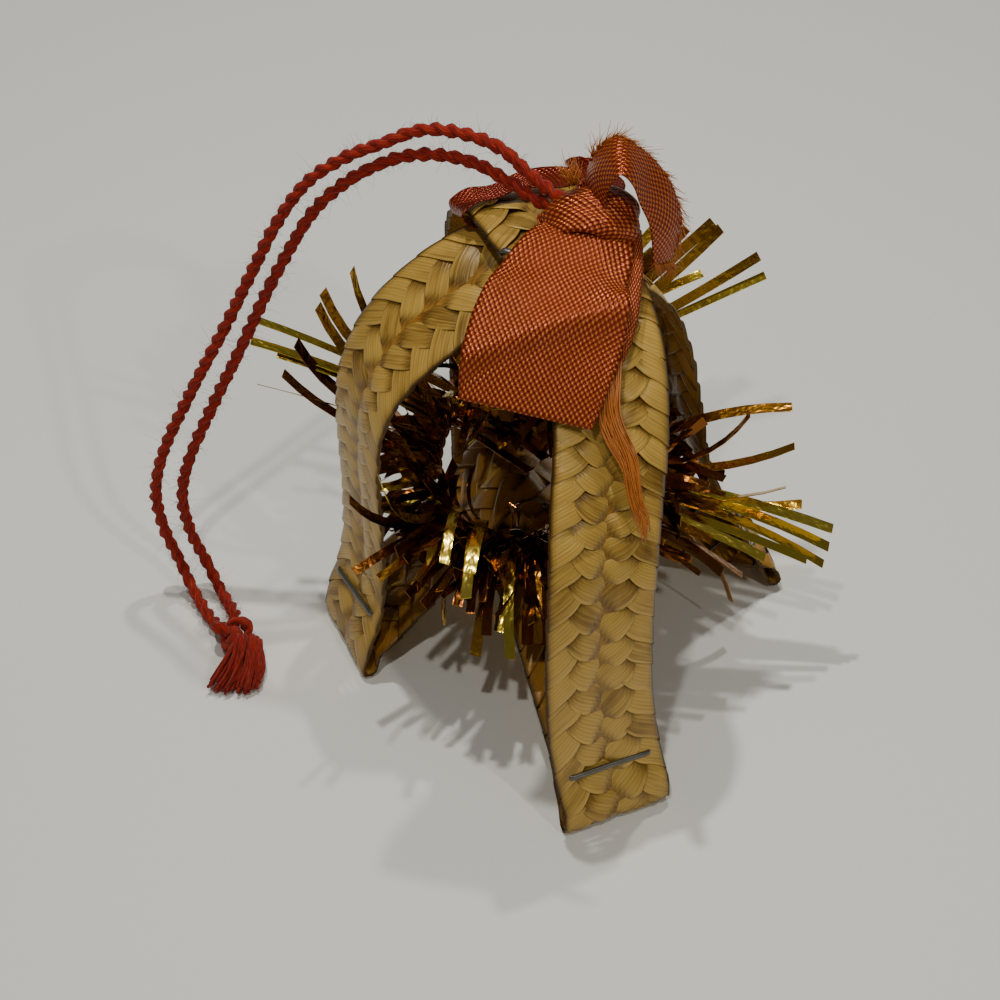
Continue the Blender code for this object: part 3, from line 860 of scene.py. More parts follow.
# How far apart the rows are at lengths along each band, from the crossing down the first leg.
DOME_SPACING = ((0, 4.8), (27, 4.7), (38, 3.5), (68, 3.4), (80, 4.3), (120, 4.6), (235, 4.3))
STRIP_SPACING = ((0, 4.4), (20, 3.9), (50, 3.75), (60, 4.8), (85, 5.4), (98, 5.0), (180, 4.4), (240, 4.3))


@dataclass
class StrawPlait:
    """A closed band woven of seven flat straws, each crossing from edge to edge and folding back.

    A strand passes over two others and under two, so each face shows four columns of cells.

    Attributes:
        spacing: the distance between rows at lengths along the band, in millimetres.
        turns: how often each strand goes to and fro in the closed band.
        flatten: how much less steeply a strand runs where it lies on the outer face.
        belly: how far its lower edge bulges between two crossings.
        reach: how wide a strand is, in rows.
        swing: how far it rises and dips as it crosses the others.
        steep: how sharply it changes from one to the other.
        tilt: how far its edges tilt out of the band's face.
        straw_top, straw_under: how thick it is above and below its middle.
        dip: the breadth and the depth of the line down the band's middle.
        pressed: how much flatter the weave is at the folds.
        edge: how near the band's edges, in columns, a strand starts to fold back.
        uneven: how much the cells differ in place, height, tilt, width and shade.
        strand_tones: how much the strands differ in shade.
    """

    name: str
    node: str
    route: BandRoute
    seed: int
    spacing: Sequence[Pair]
    turns: int = 9
    flatten: float = 0.32
    belly: float = 0.1
    width: float = 17.0
    strands: int = 7
    columns: int = 4
    reach: float = 1.32
    swing: float = 0.4
    steep: float = 1.5
    tilt: float = 0.1
    straw_top: float = 0.2
    straw_under: float = 0.09
    dip: Pair = (1.1, 0.08)
    pressed: float = 0.45
    edge: float = 0.8
    uneven: Sequence[float] = (0.05, 0.04, 0.04, 0.06, 0.5)
    strand_tones: float = 0.45
    steps: int = 8
    top_faces: int = 9
    under_faces: int = 5

    def cross_section(self, share: Array) -> tuple[Array, Array]:
        """A strand's section.

        Args:
            share: how far round the section each point is, from 0 to 1.

        Returns:
            How far across the strand each point is, from -1 to 1, and its height.
        """
        top = self.top_faces / (self.top_faces + self.under_faces)
        over = share <= top + 1e-6
        across = np.where(
            over,
            -np.cos(math.pi * np.clip(share / top, 0, 1)),
            np.cos(math.pi * np.clip((share - top) / (1 - top), 0, 1)),
        )
        bulge = np.maximum(1 - across**2, 0) ** 0.42
        return across, np.where(over, self.straw_top, -self.straw_under) * bulge

    def length_at(self, row: Array) -> Array:
        """Turns places that are counted in rows into lengths.

        Args:
            row: places along the band, in rows.

        Returns:
            How far along the band each of them is.
        """
        fine = np.linspace(0.0, self.route.length, 2000)
        where, apart = np.array([*self.spacing, (self.route.length, self.spacing[0][1])]).T
        rows = np.concatenate([[0.0], np.cumsum(1 / np.interp(fine[1:], where, apart))])
        rows *= self.turns * self.strands / rows[-1]
        whole, part = np.divmod(row, self.turns * self.strands)
        return whole * self.route.length + np.interp(part, rows, fine)

    def lay(self, which: Array, along: Array, around: Array) -> Laid:
        """The places of the strands' points, woven round the closed band.

        Args:
            which: the strand of each point.
            along: its share of the strand's length.
            around: its share of the way round the strand's section.

        Returns:
            The places, the UVs and the tones that the straw is dressed by.
        """
        cells = along * self.turns * 2 * self.columns
        run = cells * self.width / self.columns
        chance = np.random.default_rng(self.seed)
        shape = (self.strands, self.turns * 2 * self.columns)
        slip, lift, lean, spread, cell_tone = (
            per_cell(chance.normal(0.0, size, shape), which, cells) for size in self.uneven
        )
        strand_tone = chance.normal(0.0, self.strand_tones, self.strands)[which]

        across, height = self.cross_section(around)
        back = run % (2 * self.width)
        side = np.where(back < self.width, back - self.width / 2, 1.5 * self.width - back)
        from_edge = (self.width / 2 - np.abs(side)) / (self.edge * self.width / self.columns)
        inner = ease(np.clip(from_edge, 0.0, 1.0))
        reach = self.reach * (1 + spread) / 2
        slant = across * reach * self.columns / self.strands * inner
        beat = -np.sin(math.pi * (cells + slant))
        weave = np.tanh(self.steep * beat) / math.tanh(self.steep)
        bulge = self.belly * np.clip(beat, 0.0, 1.0) * (across > 0) * np.abs(across)
        aside = across * reach + bulge
        bend = self.flatten * np.cos(math.pi * cells) / math.pi
        half_turn = self.strands / 2 / self.columns
        at = self.length_at(which + half_turn * (cells - bend) + aside + slip)
        pitch = self.route.length / (self.turns * self.strands)
        breadth, depth = self.dip
        dip = np.exp(-((side / breadth) ** 2)) * depth * np.sign(beat)
        out = self.swing * weave + lift + (self.tilt + lean) * aside * pitch + height - dip
        out = out * (1 - self.pressed + self.pressed * self.route.free(at))
        uv = pairs(run * 1.3 + which * 41.0, across * 1.9 + aside * 0.3 + which * 13.0)
        tones = {
            "strand_tone": np.clip(0.5 + 0.5 * strand_tone + 0.6 * cell_tone, 0, 1),
            # painted shade: rises where the strand goes under, so the band's inner face and the dips come out
            # darker
            "inner_shade": np.clip(0.3 - 2.0 * weave, 0.0, 1.0),
            "crevice": np.clip(1.05 - 1.2 * np.abs(weave), 0.0, 1.0) ** 1.3,
            # painted highlight along one edge of the top face, where a cut edge catches light
            "rim_highlight": np.clip((across - 0.82) / 0.12, 0.0, 1.0) * (height > 0) * (weave > 0),
        }
        return Laid(self.route.place(at, side, out), uv, tones)

    def build(self, paint: bpy.types.Material) -> bpy.types.Object:
        """Makes the band and puts it in place of its plain solid.

        Args:
            paint: the straw.

        Returns:
            The band.
        """
        along = self.turns * 2 * self.columns * self.steps
        around = self.top_faces + self.under_faces
        made = laid_grids(self.name, self.strands, along, around, self.lay, Form.TUBE)
        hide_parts(self.node)
        return fit(made, paint)


# ---------------------------------------------------------------- staples

# How far from a foot's fold each end of its staple lies, along the band.
STAPLE_FROM_FOLD = {
    "left": (-10.4, -10.8),
    "right": (9.0, 9.0),
    "front": (-11.6, -9.8),
    "back": (9.0, 9.0),
}
HALF_CROWN = 6.35  # half the length of a foot staple's bar
# The top staple's ends: how far along the front and back band and to its side each lies.
TOP_STAPLE = ((2.0, -8.0), (12.3, -0.5))


@dataclass
class Staple:
    """A flat-wired staple through the straw: its bar lies on the face and its legs go in.

    Attributes:
        ends: how far along the band and to its side each end of the bar is.
        wide, high: half the wire's width and half its thickness.
        lift: how far the bar stands off the band's middle face.
        leg: how deep the legs go.
        shoulder: how deep the bends reach.
        wire_faces: faces round the wire.
    """

    name: str
    node: str
    route: BandRoute
    ends: tuple[Pair, Pair]
    wide: float = 0.5
    high: float = 0.3
    lift: float = 0.75
    leg: float = 1.3
    shoulder: float = 0.35
    wire_faces: int = 8

    def build(self, paint: bpy.types.Material) -> bpy.types.Object:
        """Makes the staple as one bent wire, in place of its plain solid.

        Args:
            paint: the steel.

        Returns:
            The wire.
        """
        (at0, side0), (at1, side1) = self.ends
        shares = np.array([0.0, 0.0, 0.04, 0.25, 0.5, 0.75, 0.96, 1.0, 1.0])
        depths = np.array([self.leg, self.shoulder, 0.0, 0.0, 0.0, 0.0, 0.0, self.shoulder, self.leg])
        at, side = at0 + (at1 - at0) * shares, side0 + (side1 - side0) * shares
        line = smooth(self.route.place(at, side, self.lift - depths), 5)
        face = self.route.place(np.array([(at0 + at1) / 2] * 2), np.zeros(2), np.array([0.0, 1.0]))
        outward = unit(face[1] - face[0])

        def lay(which: Array, along: Array, around: Array) -> Laid:
            """The places of the wire's points.

            Args:
                which: always 0, for the one wire.
                along: each point's share of the wire's length.
                around: its share of the way round.

            Returns:
                The places and UVs.
            """
            step = along * (len(line) - 1)
            middle = np.stack([np.interp(step, range(len(line)), line[:, k]) for k in range(3)], axis=1)
            tangent = unit(np.gradient(line, axis=0))[np.round(step).astype(int)]
            # a little of another direction, so that the width is given on the legs too
            flat = unit(np.cross(tangent, outward + 0.001 * tangent[::-1]))
            up = np.cross(flat, tangent)
            points = middle + round_line(flat * self.wide, up * self.high, TURN * around)
            return Laid(points, pairs(along * 15.0, around * 3.0))

        made = laid_grids(self.name, 1, len(line) - 1, self.wire_faces, lay, Form.TUBE)
        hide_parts(self.node)
        return fit(made, paint)


# ---------------------------------------------------------------- the tinsel garland


# Each strip that shows on its own: the azimuth of its root on the ring, its tip, how far its
# middle rises above the straight line, the turn of its width from level in degrees, and its tone, a painted
# reflection from dark maroon to yellow.
PLACED_STRIPS = (
    # out between the left and back legs
    (144, (-47.1, 14.0, 48.4), 1.5, 8, 0.85),
    (150, (-47.9, 11.0, 46.8), 1.8, 5, 0.9),
    (153, (-44.0, 10.0, 45.1), 1.4, 12, 0.85),
    (160, (-40.9, 9.0, 48.2), -4.0, 38, 0.08),
    (168, (-43.0, 7.0, 43.9), -3.0, 35, 0.3),
    (165, (-47.2, 8.0, 40.8), 1.0, -38, 0.75),
    (140, (-37.0, 15.0, 53.1), -4.0, 52, 0.38),
    (143, (-37.8, 14.0, 51.1), -4.0, 46, 0.34),
    (136, (-35.5, 16.0, 47.9), -3.0, 5, 0.8),
    (130, (-32.6, 17.0, 55.7), -4.5, 20, 0.6),
    # out between the back and right legs
    (84, (21.6, 24.0, 59.2), -0.5, -48, 0.8),
    (80, (22.7, 23.0, 58.8), -0.8, -46, 0.82),
    (76, (28.7, 22.0, 54.3), -1.0, -44, 0.92),
    (72, (29.8, 21.0, 51.4), 0.0, -20, 0.88),
    (82, (20.4, 23.0, 50.2), 2.0, -30, 1.0),
    (88, (16.5, 24.0, 53.1), 0.5, -50, 0.05),
    (90, (17.8, 25.0, 57.3), -1.5, -60, 0.35),
    (92, (12.7, 25.0, 56.9), 0.5, -50, 1.0),
    (94, (12.9, 24.0, 53.7), 0.5, -30, 0.7),
    # out between the right and front legs
    (-10, (32.5, -1.0, 44.2), 2.0, -12, 0.42),
    (-14, (26.3, -2.0, 43.7), -3.5, -5, 0.3),
    (-16, (33.4, -2.0, 37.3), -3.0, -8, 0.55),
    (-22, (40.0, -6.0, 23.9), 1.2, -30, 0.98),
    (-27, (39.6, -7.0, 21.0), 1.6, -22, 0.85),
    (-31, (38.9, -8.0, 18.3), 1.8, -26, 0.8),
    (-36, (36.1, -9.0, 20.2), 1.2, -20, 0.85),
    (-20, (32.3, -5.0, 31.7), -3.5, 30, 0.6),
    (-25, (35.2, -4.0, 27.2), -2.5, -20, 0.6),
    (-42, (29.2, -12.0, 23.7), 1.5, -25, 1.0),
    (-34, (25.7, -6.0, 7.9), 4.0, 40, 0.3),
    (-46, (26.1, -12.0, 20.0), 1.5, 15, 0.15),
    (-50, (22.7, -14.0, 22.7), 2.0, -20, 0.1),
    (-38, (25.3, -10.0, 23.8), 1.5, 30, 0.25),
    (-56, (19.2, -16.0, 24.4), 1.5, 10, 0.12),
    (-44, (21.0, -12.0, 27.5), 1.0, -30, 0.2),
    (-62, (17.3, -18.0, 29.4), 1.0, 0, 0.1),
    # out between the left and front legs
    (220, (-31.9, -18.5, 27.4), 0.8, 12, 0.05),
    (224, (-28.3, -19.0, 26.6), 1.0, 20, 0.42),
    (217, (-31.9, -18.5, 42.1), -3.0, 55, 0.2),
    (212, (-27.7, -17.0, 45.3), -4.0, 35, 0.95),
    (228, (-18.5, -24.0, 34.7), 5.0, 10, 1.3),
    (240, (-14.9, -25.0, 33.7), 4.5, 0, 1.3),
    (234, (-15.4, -25.0, 28.6), 5.0, -15, 1.3),
    (238, (-16.8, -22.0, 23.8), 1.8, 0, 0.05),
    (244, (-14.9, -23.0, 23.2), 1.8, 5, 0.08),
    (247, (-13.1, -22.0, 24.7), 1.8, -8, 0.02),
    (252, (-14.2, -24.0, 15.1), 2.5, 12, 0.55),
    (262, (-8.9, -26.0, 16.6), 2.5, 0, 0.9),
    (268, (-6.4, -26.0, 19.7), 2.5, 8, 0.28),
    (274, (-4.9, -26.0, 20.1), 2.5, -6, 0.34),
    (279, (-3.7, -25.0, 18.6), 2.0, 10, 0.2),
    # up through the middle
    (160, (-21.9, 2.0, 45.3), -1.0, 10, 0.9),
    (130, (-18.4, 4.0, 41.7), 1.0, -12, 1.0),
    (110, (-10.8, -1.0, 43.7), 1.0, 0, 0.95),
)


@dataclass
class TinselGarland:
    """A ring of twisted core wire with strips of film standing out of it all round.

    Attributes:
        slant: how far the ring rises from its middle to its high side.
        high_side: the azimuth of that side.
        core: the core wire's thickness.
        core_twists: how often its two wires go round each other.
        long_strips, short_strips: how many grow at random, of each kind.
        over_arch: how many lean over the crest of the inner arch.
        arch_tips: the corners of the box that their tips lie in.
        width, film: a strip's width and half its thickness.
        rise: the middle and the spread of the angle at which strips stand up, in degrees.
        open_side: the azimuths between which a strip may be longer than the others.
        longest_else: the greatest length outside them.
        clearance: how far a strip stays from the straw's middle face.
        lowest: how far it stays from the table.
        least: the shortest strip that is kept.
    """

    centre: Point = (-6.0, 3.5, 31.0)
    radius: float = 14.0
    slant: float = 5.0
    high_side: float = 60.0
    core: float = 0.7
    core_twists: int = 24
    long_strips: int = 58
    short_strips: int = 380
    over_arch: int = 34
    arch_tips: tuple[Point, Point] = ((-17.0, -5.0, 33.0), (5.0, 6.0, 41.0))
    width: float = 1.6
    film: float = 0.05
    rise: Pair = (4.0, 34.0)
    open_side: Pair = (85.0, 135.0)
    longest_else: float = 17.0
    clearance: float = 2.4
    lowest: float = 3.0
    least: float = 6.0
    faces_along: int = 8
    seed: int = 11

    def ring(self, azimuth: float | Array) -> tuple[Array, Array]:
        """Places on the ring.

        Args:
            azimuth: where round the ring, in degrees.

        Returns:
            The points there and the level directions out of the ring.
        """
        turn = np.radians(azimuth)
        way = np.stack([np.cos(turn), np.sin(turn), np.zeros_like(turn)], axis=-1)
        rise = self.slant * np.cos(turn - math.radians(self.high_side))
        middle = np.array(self.centre) + way * self.radius
        return middle + np.multiply.outer(rise, UP), way

    def grow(self, chance: np.random.Generator, lengths: Pair, straw: Array) -> tuple | None:
        """A strip in a random direction, as far as it runs clear of the straw and the table.

        Args:
            chance: the source of random numbers.
            lengths: the least and the greatest length tried.
            straw: points spread over the bands.

        Returns:
            The azimuth of its root and its tip, or nothing where there is no room.
        """
        azimuth = chance.uniform(0.0, 360.0)
        root, way = self.ring(azimuth)
        rise = math.radians(chance.normal(*self.rise))
        sway = np.cross(UP, way) * chance.normal(0.0, 0.35)
        length = chance.uniform(*lengths)
        if not self.open_side[0] < azimuth < self.open_side[1]:
            length = min(length, self.longest_else)
        way = unit(way * math.cos(rise) + UP * math.sin(rise) + sway)
        for reach in np.arange(3.0, length, 1.0):
            point = root + way * reach
            near = np.linalg.norm(straw - point, axis=1).min()
            if near < self.clearance or point[2] < self.lowest:
                length = reach - 1.0
                break
        return (azimuth, root + way * length) if length > self.least else None

    def grow_all(self, chance: np.random.Generator, straw: Array) -> list[tuple]:
        """The strips that grow at random, the long ones first.

        Args:
            chance: the source of random numbers.
            straw: points spread over the bands.

        Returns:
            For each, the azimuth of its root, its tip, its arch, its turn and its tone.
        """
        grown: list[tuple] = []
        while len(grown) < self.long_strips + self.short_strips:
            lengths = (15.0, 30.0) if len(grown) < self.long_strips else (7.0, 17.0)
            strip = self.grow(chance, lengths, straw)
            if strip:
                grown.append(strip)
        count = len(grown)
        arches = chance.uniform(-1.5, 2.5, count)
        turns = chance.uniform(-90, 90, count)
        # painted reflection and shade: most strips that grow at random get dark maroon tones
        tones = np.clip(chance.normal(0.12, 0.3, count), 0, 1)
        return [(*strip, arch, turn, tone) for strip, arch, turn, tone in zip(grown, arches, turns, tones)]

    def strips_over_arch(self) -> list[tuple]:
        """Strips that lean from the ring's far side over the crest of the inner arch, mostly in dark tones
        that are painted shade over the crest.

        Returns:
            For each, the azimuth of its root, its tip, its arch, its turn and its tone.
        """
        chance = np.random.default_rng(self.seed + 5)
        rows = []
        for _ in range(self.over_arch):
            tip = chance.uniform(*self.arch_tips)
            # painted shade: mostly dark maroon tones, a few lighter
            tone = abs(chance.normal(0.0, 0.16)) + 0.5 * (chance.random() < 0.15)
            rows.append((chance.uniform(45, 160), tip, chance.uniform(0, 3), chance.uniform(-60, 60), tone))
        return rows

    def plan(self, straw: Array) -> dict[str, Array]:
        """Where each strip starts and ends, how it arches and how it turns.

        Args:
            straw: points spread over the bands, which the strips that grow at random stay off.

        Returns:
            Arrays with one row a strip.
        """
        chance = np.random.default_rng(self.seed)
        grown = self.grow_all(chance, straw)
        rows = [*grown, *PLACED_STRIPS, *self.strips_over_arch()]
        total = len(rows)
        at_random = np.arange(total) < len(grown)
        return {
            "root": np.array([self.ring(row[0])[0] for row in rows]),
            "tip": np.array([row[1] for row in rows]),
            "arch": np.array([row[2] for row in rows]),
            "turn": np.radians([row[3] for row in rows]),
            "tone": np.array([row[4] for row in rows]),
            "twist": chance.normal(0.0, 0.5, total) * np.where(at_random, 2.0, 0.5),
            "bend": chance.normal(0.0, 1.2, total) * np.where(at_random, 1.0, 0.3),
            "wide": self.width * chance.uniform(0.8, 1.08, total),
        }

    def build(self, straw: Array, paint: bpy.types.Material) -> bpy.types.Object:
        """Makes the strips and the core, in place of the plain solid.

        Args:
            straw: points spread over the bands.
            paint: the film.

        Returns:
            The strips.
        """
        plan = self.plan(straw)

        def lay(which: Array, along: Array, around: Array) -> Laid:
            """The places of the strips' points.

            Args:
                which: the strip of each point.
                along: its share of the way from root to tip.
                around: its share of the way round the strip's flat section.

            Returns:
                The places, the UVs and each strip's tone.
            """
            root, tip = plan["root"][which], plan["tip"][which]
            way = unit(tip - root)
            level = unit(np.cross(way, (0.02, 0.03, 1.0)))
            up = np.cross(level, way)
            hang = 4 * along * (1 - along)
            arch = (hang * plan["arch"][which])[:, None]
            curl = (hang * plan["bend"][which])[:, None]
            middle = root + (tip - root) * along[:, None] + up * arch + level * curl
            flat = round_line(level, up, plan["turn"][which] + plan["twist"][which] * (1 - along))
            corner = TURN * (around + 0.125)
            aside = np.sign(np.cos(corner)) * plan["wide"][which] / 2
            points = middle + flat * (aside * (0.5 + 0.5 * np.clip(along * 6, 0, 1)))[:, None]
            points = points + np.cross(way, flat) * (self.film * np.sign(np.sin(corner)))[:, None]
            length = np.linalg.norm(tip - root, axis=1)
            uv = pairs(along * length + which * 29.0, aside)
            return Laid(points, uv, {"film_reflection_tone": plan["tone"][which]})

        count = len(plan["root"])
        strips = laid_grids("tinsel_strips", count, self.faces_along, 4, lay, Form.TUBE)
        strips.data.set_sharp_from_angle(angle=math.radians(50))
        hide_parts("tinsel")
        self.build_core(paint)
        return fit(strips, paint)

    def build_core(self, paint: bpy.types.Material) -> bpy.types.Object:
        """Makes the garland's core, two wires twisted together.

        Args:
            paint: the film.

        Returns:
            The core.
        """
        radius = self.core / 2

        def lay(which: Array, along: Array, around: Array) -> Laid:
            """The places of the two wires' points.

            Args:
                which: the wire of each point.
                along: its share of the way round the ring.
                around: its share of the way round the wire.

            Returns:
                The places, the UVs and the tone.
            """
            middle, way = self.ring(360.0 * along)
            spin = TURN * along * self.core_twists + which * math.pi
            points = middle + round_line(way, UP, spin) * radius + round_line(way, UP, TURN * around) * radius
            return Laid(points, pairs(along * 88.0, around * 2.0), {"film_reflection_tone": np.full(len(along), 0.3)})

        made = laid_grids("tinsel_core", 2, 12 * self.core_twists, 6, lay, Form.TUBE)
        return fit(made, paint)


# ---------------------------------------------------------------- the yarn loop

UPPER_STRAND = (
    (-6.4, 5.2, 81.6),
    (-10.5, 7.7, 84.2),
    (-16.0, 10.2, 85.0),
    (-21.5, 12.0, 84.2),
    (-27.2, 12.4, 81.6),
    (-32.4, 12.8, 79.0),
    (-38.1, 12.8, 74.6),
    (-43.0, 12.3, 67.4),
    (-46.9, 11.7, 59.4),
    (-51.4, 10.6, 50.2),
    (-57.2, 9.2, 39.0),
    (-62.4, 7.8, 28.0),
    (-64.6, 6.9, 19.6),
    (-64.0, 6.0, 12.4),
    (-62.0, 4.8, 6.4),
    (-59.6, 1.4, 2.6),
    (-57.2, -2.6, 1.7),
    (-55.4, -5.6, 2.4),
)
LOWER_STRAND = (
    (-6.6, 4.6, 78.6),
    (-12.9, 8.4, 80.6),
    (-18.6, 10.8, 80.8),
    (-24.0, 11.8, 79.9),
    (-29.1, 12.2, 77.4),
    (-33.4, 12.4, 74.2),
    (-37.4, 12.4, 69.8),
    (-41.2, 12.1, 63.2),
    (-45.2, 11.6, 55.2),
    (-50.0, 10.6, 44.6),
    (-54.9, 9.5, 34.4),
    (-59.2, 8.2, 24.4),
    (-60.6, 7.0, 17.6),
    (-59.8, 6.2, 11.0),
    (-57.8, 5.4, 5.4),
    (-55.6, 2.4, 2.2),
    (-53.6, -1.2, 1.8),
    (-52.6, -4.2, 2.6),
)


@dataclass
class TwistedYarn:
    """Two-ply yarn: two soft plies wound round each other, with loose fibres standing off them.

    Attributes:
        diameter: the yarn's, over both plies.
        lay_length: how long one turn of the plies is.
        ply: a ply's radius.
        orbit: how far its middle runs from the yarn's middle.
        hairs_a_mm: loose fibres a millimetre.
        hair_lengths: shape and scale of the gamma spread of their lengths.
        hair: a fibre's radius.
    """

    diameter: float = 2.1
    lay_length: float = 4.7
    ply: float = 0.64
    orbit: float = 0.36
    hairs_a_mm: float = 9.0
    hair_lengths: Pair = (2.2, 0.42)
    hair: float = 0.022
    faces_a_turn: int = 16
    faces_round: int = 12

    def plies(self, name: str, line: Array, seed: int) -> bpy.types.Object:
        """Makes the two plies along a line, as one piece.

        Args:
            name: the piece's name.
            line: the yarn's middle.
            seed: fixes the small unevenness.

        Returns:
            The plies.
        """
        along = lengths_along(line)
        count = max(12, round(along[-1] / self.lay_length * self.faces_a_turn))
        even = read_along(line, np.linspace(0, along[-1], count + 1))
        first, second = ring_lines(even)
        loose = wobble(seed, count + 1, 0.06)
        phase = np.cumsum(1 + wobble(seed + 1, count + 1, 0.25)) * TURN / self.faces_a_turn

        def lay(which: Array, share: Array, around: Array) -> Laid:
            """The places of the plies' points.

            Args:
                which: the ply of each point.
                share: its share of the yarn's length.
                around: its share of the way round the ply.

            Returns:
                The places and UVs.
            """
            step = np.round(share * count).astype(int)
            ends = np.clip(np.minimum(step, count - step) / 3.0, 0.25, 1.0)
            way = round_line(first[step], second[step], phase[step] + which * math.pi)
            middle = even[step] + way * ((self.orbit + loose[step]) * ends)[:, None]
            turn = TURN * around
            out = round_line(first[step], second[step], turn)
            rough = np.sin(turn * 3 + step * 1.1 + which) * 0.05 + np.sin(turn * 2 - step * 0.7) * 0.04
            points = middle + out * ((self.ply + rough) * ends)[:, None]
            return Laid(points, pairs(share * along[-1] + which * 300.0, around * 4.0))

        return laid_grids(name, 2, count, self.faces_round, lay, Form.TUBE)

    def hairs(self, name: str, line: Array, seed: int) -> bpy.types.Object:
        """Makes the loose fibres that stand off a line, mostly across the line's last direction.

        Args:
            name: the piece's name.
            line: the yarn's middle.
            seed: fixes where they stand.

        Returns:
            The fibres.
        """
        along = lengths_along(line)
        chance = np.random.default_rng(seed)
        count = round(along[-1] * self.hairs_a_mm)
        at = np.sort(chance.uniform(0, along[-1], count))
        ways = unit(read_along(np.gradient(line, axis=0), at))
        lengths = chance.gamma(*self.hair_lengths, count)
        return loose_fibres(name, read_along(line, at), ways, self.diameter * 0.4, lengths, self.hair, seed)


def loose_fibres(
    name: str,
    roots: Array,
    ways: Array,
    start: float,
    lengths: Array,
    thick: float,
    seed: int,
    lean: Array | float = 0.0,
) -> bpy.types.Object:
    """Fine curved fibres that stand off a core.

    Args:
        name: the piece's name.
        roots: a point of the core for each fibre.
        ways: a direction that each fibre keeps off, or zeros for none.
        start: how far from the core's middle the fibres start.
        lengths: the length of each.
        thick: the fibres' radius.
        seed: fixes the random directions.
        lean: a direction the fibres tend to.

    Returns:
        The fibres as one piece.
    """
    chance = np.random.default_rng(seed + 100)
    count = len(roots)
    stand = unit(chance.normal(size=(count, 3)))
    stand = unit(stand - ways * (stand * ways).sum(1)[:, None] * 0.7 + lean)
    curls = unit(chance.normal(size=(count, 3))) * (lengths * 0.45)[:, None]

    def lay(which: Array, share: Array, around: Array) -> Laid:
        """The places of the fibres' points, which stay above the table.

        Args:
            which: the fibre of each point.
            share: its share of the fibre's length.
            around: its share of the way round the fibre.

        Returns:
            The places and UVs.
        """
        way, length = stand[which], lengths[which][:, None]
        middle = roots[which] + way * (start + length * share[:, None])
        middle = middle + curls[which] * (share**2)[:, None]
        side = unit(np.cross(way, (0.3, 0.2, 0.93)))
        slim = (thick * (1.1 - share * 0.8))[:, None]
        points = middle + round_line(side, np.cross(way, side), TURN * around) * slim
        points[:, 2] = np.maximum(points[:, 2], 0.02)
        return Laid(points, pairs(share * 2.0 + which, around))

    return laid_grids(name, count, 3, 3, lay, Form.TUBE)


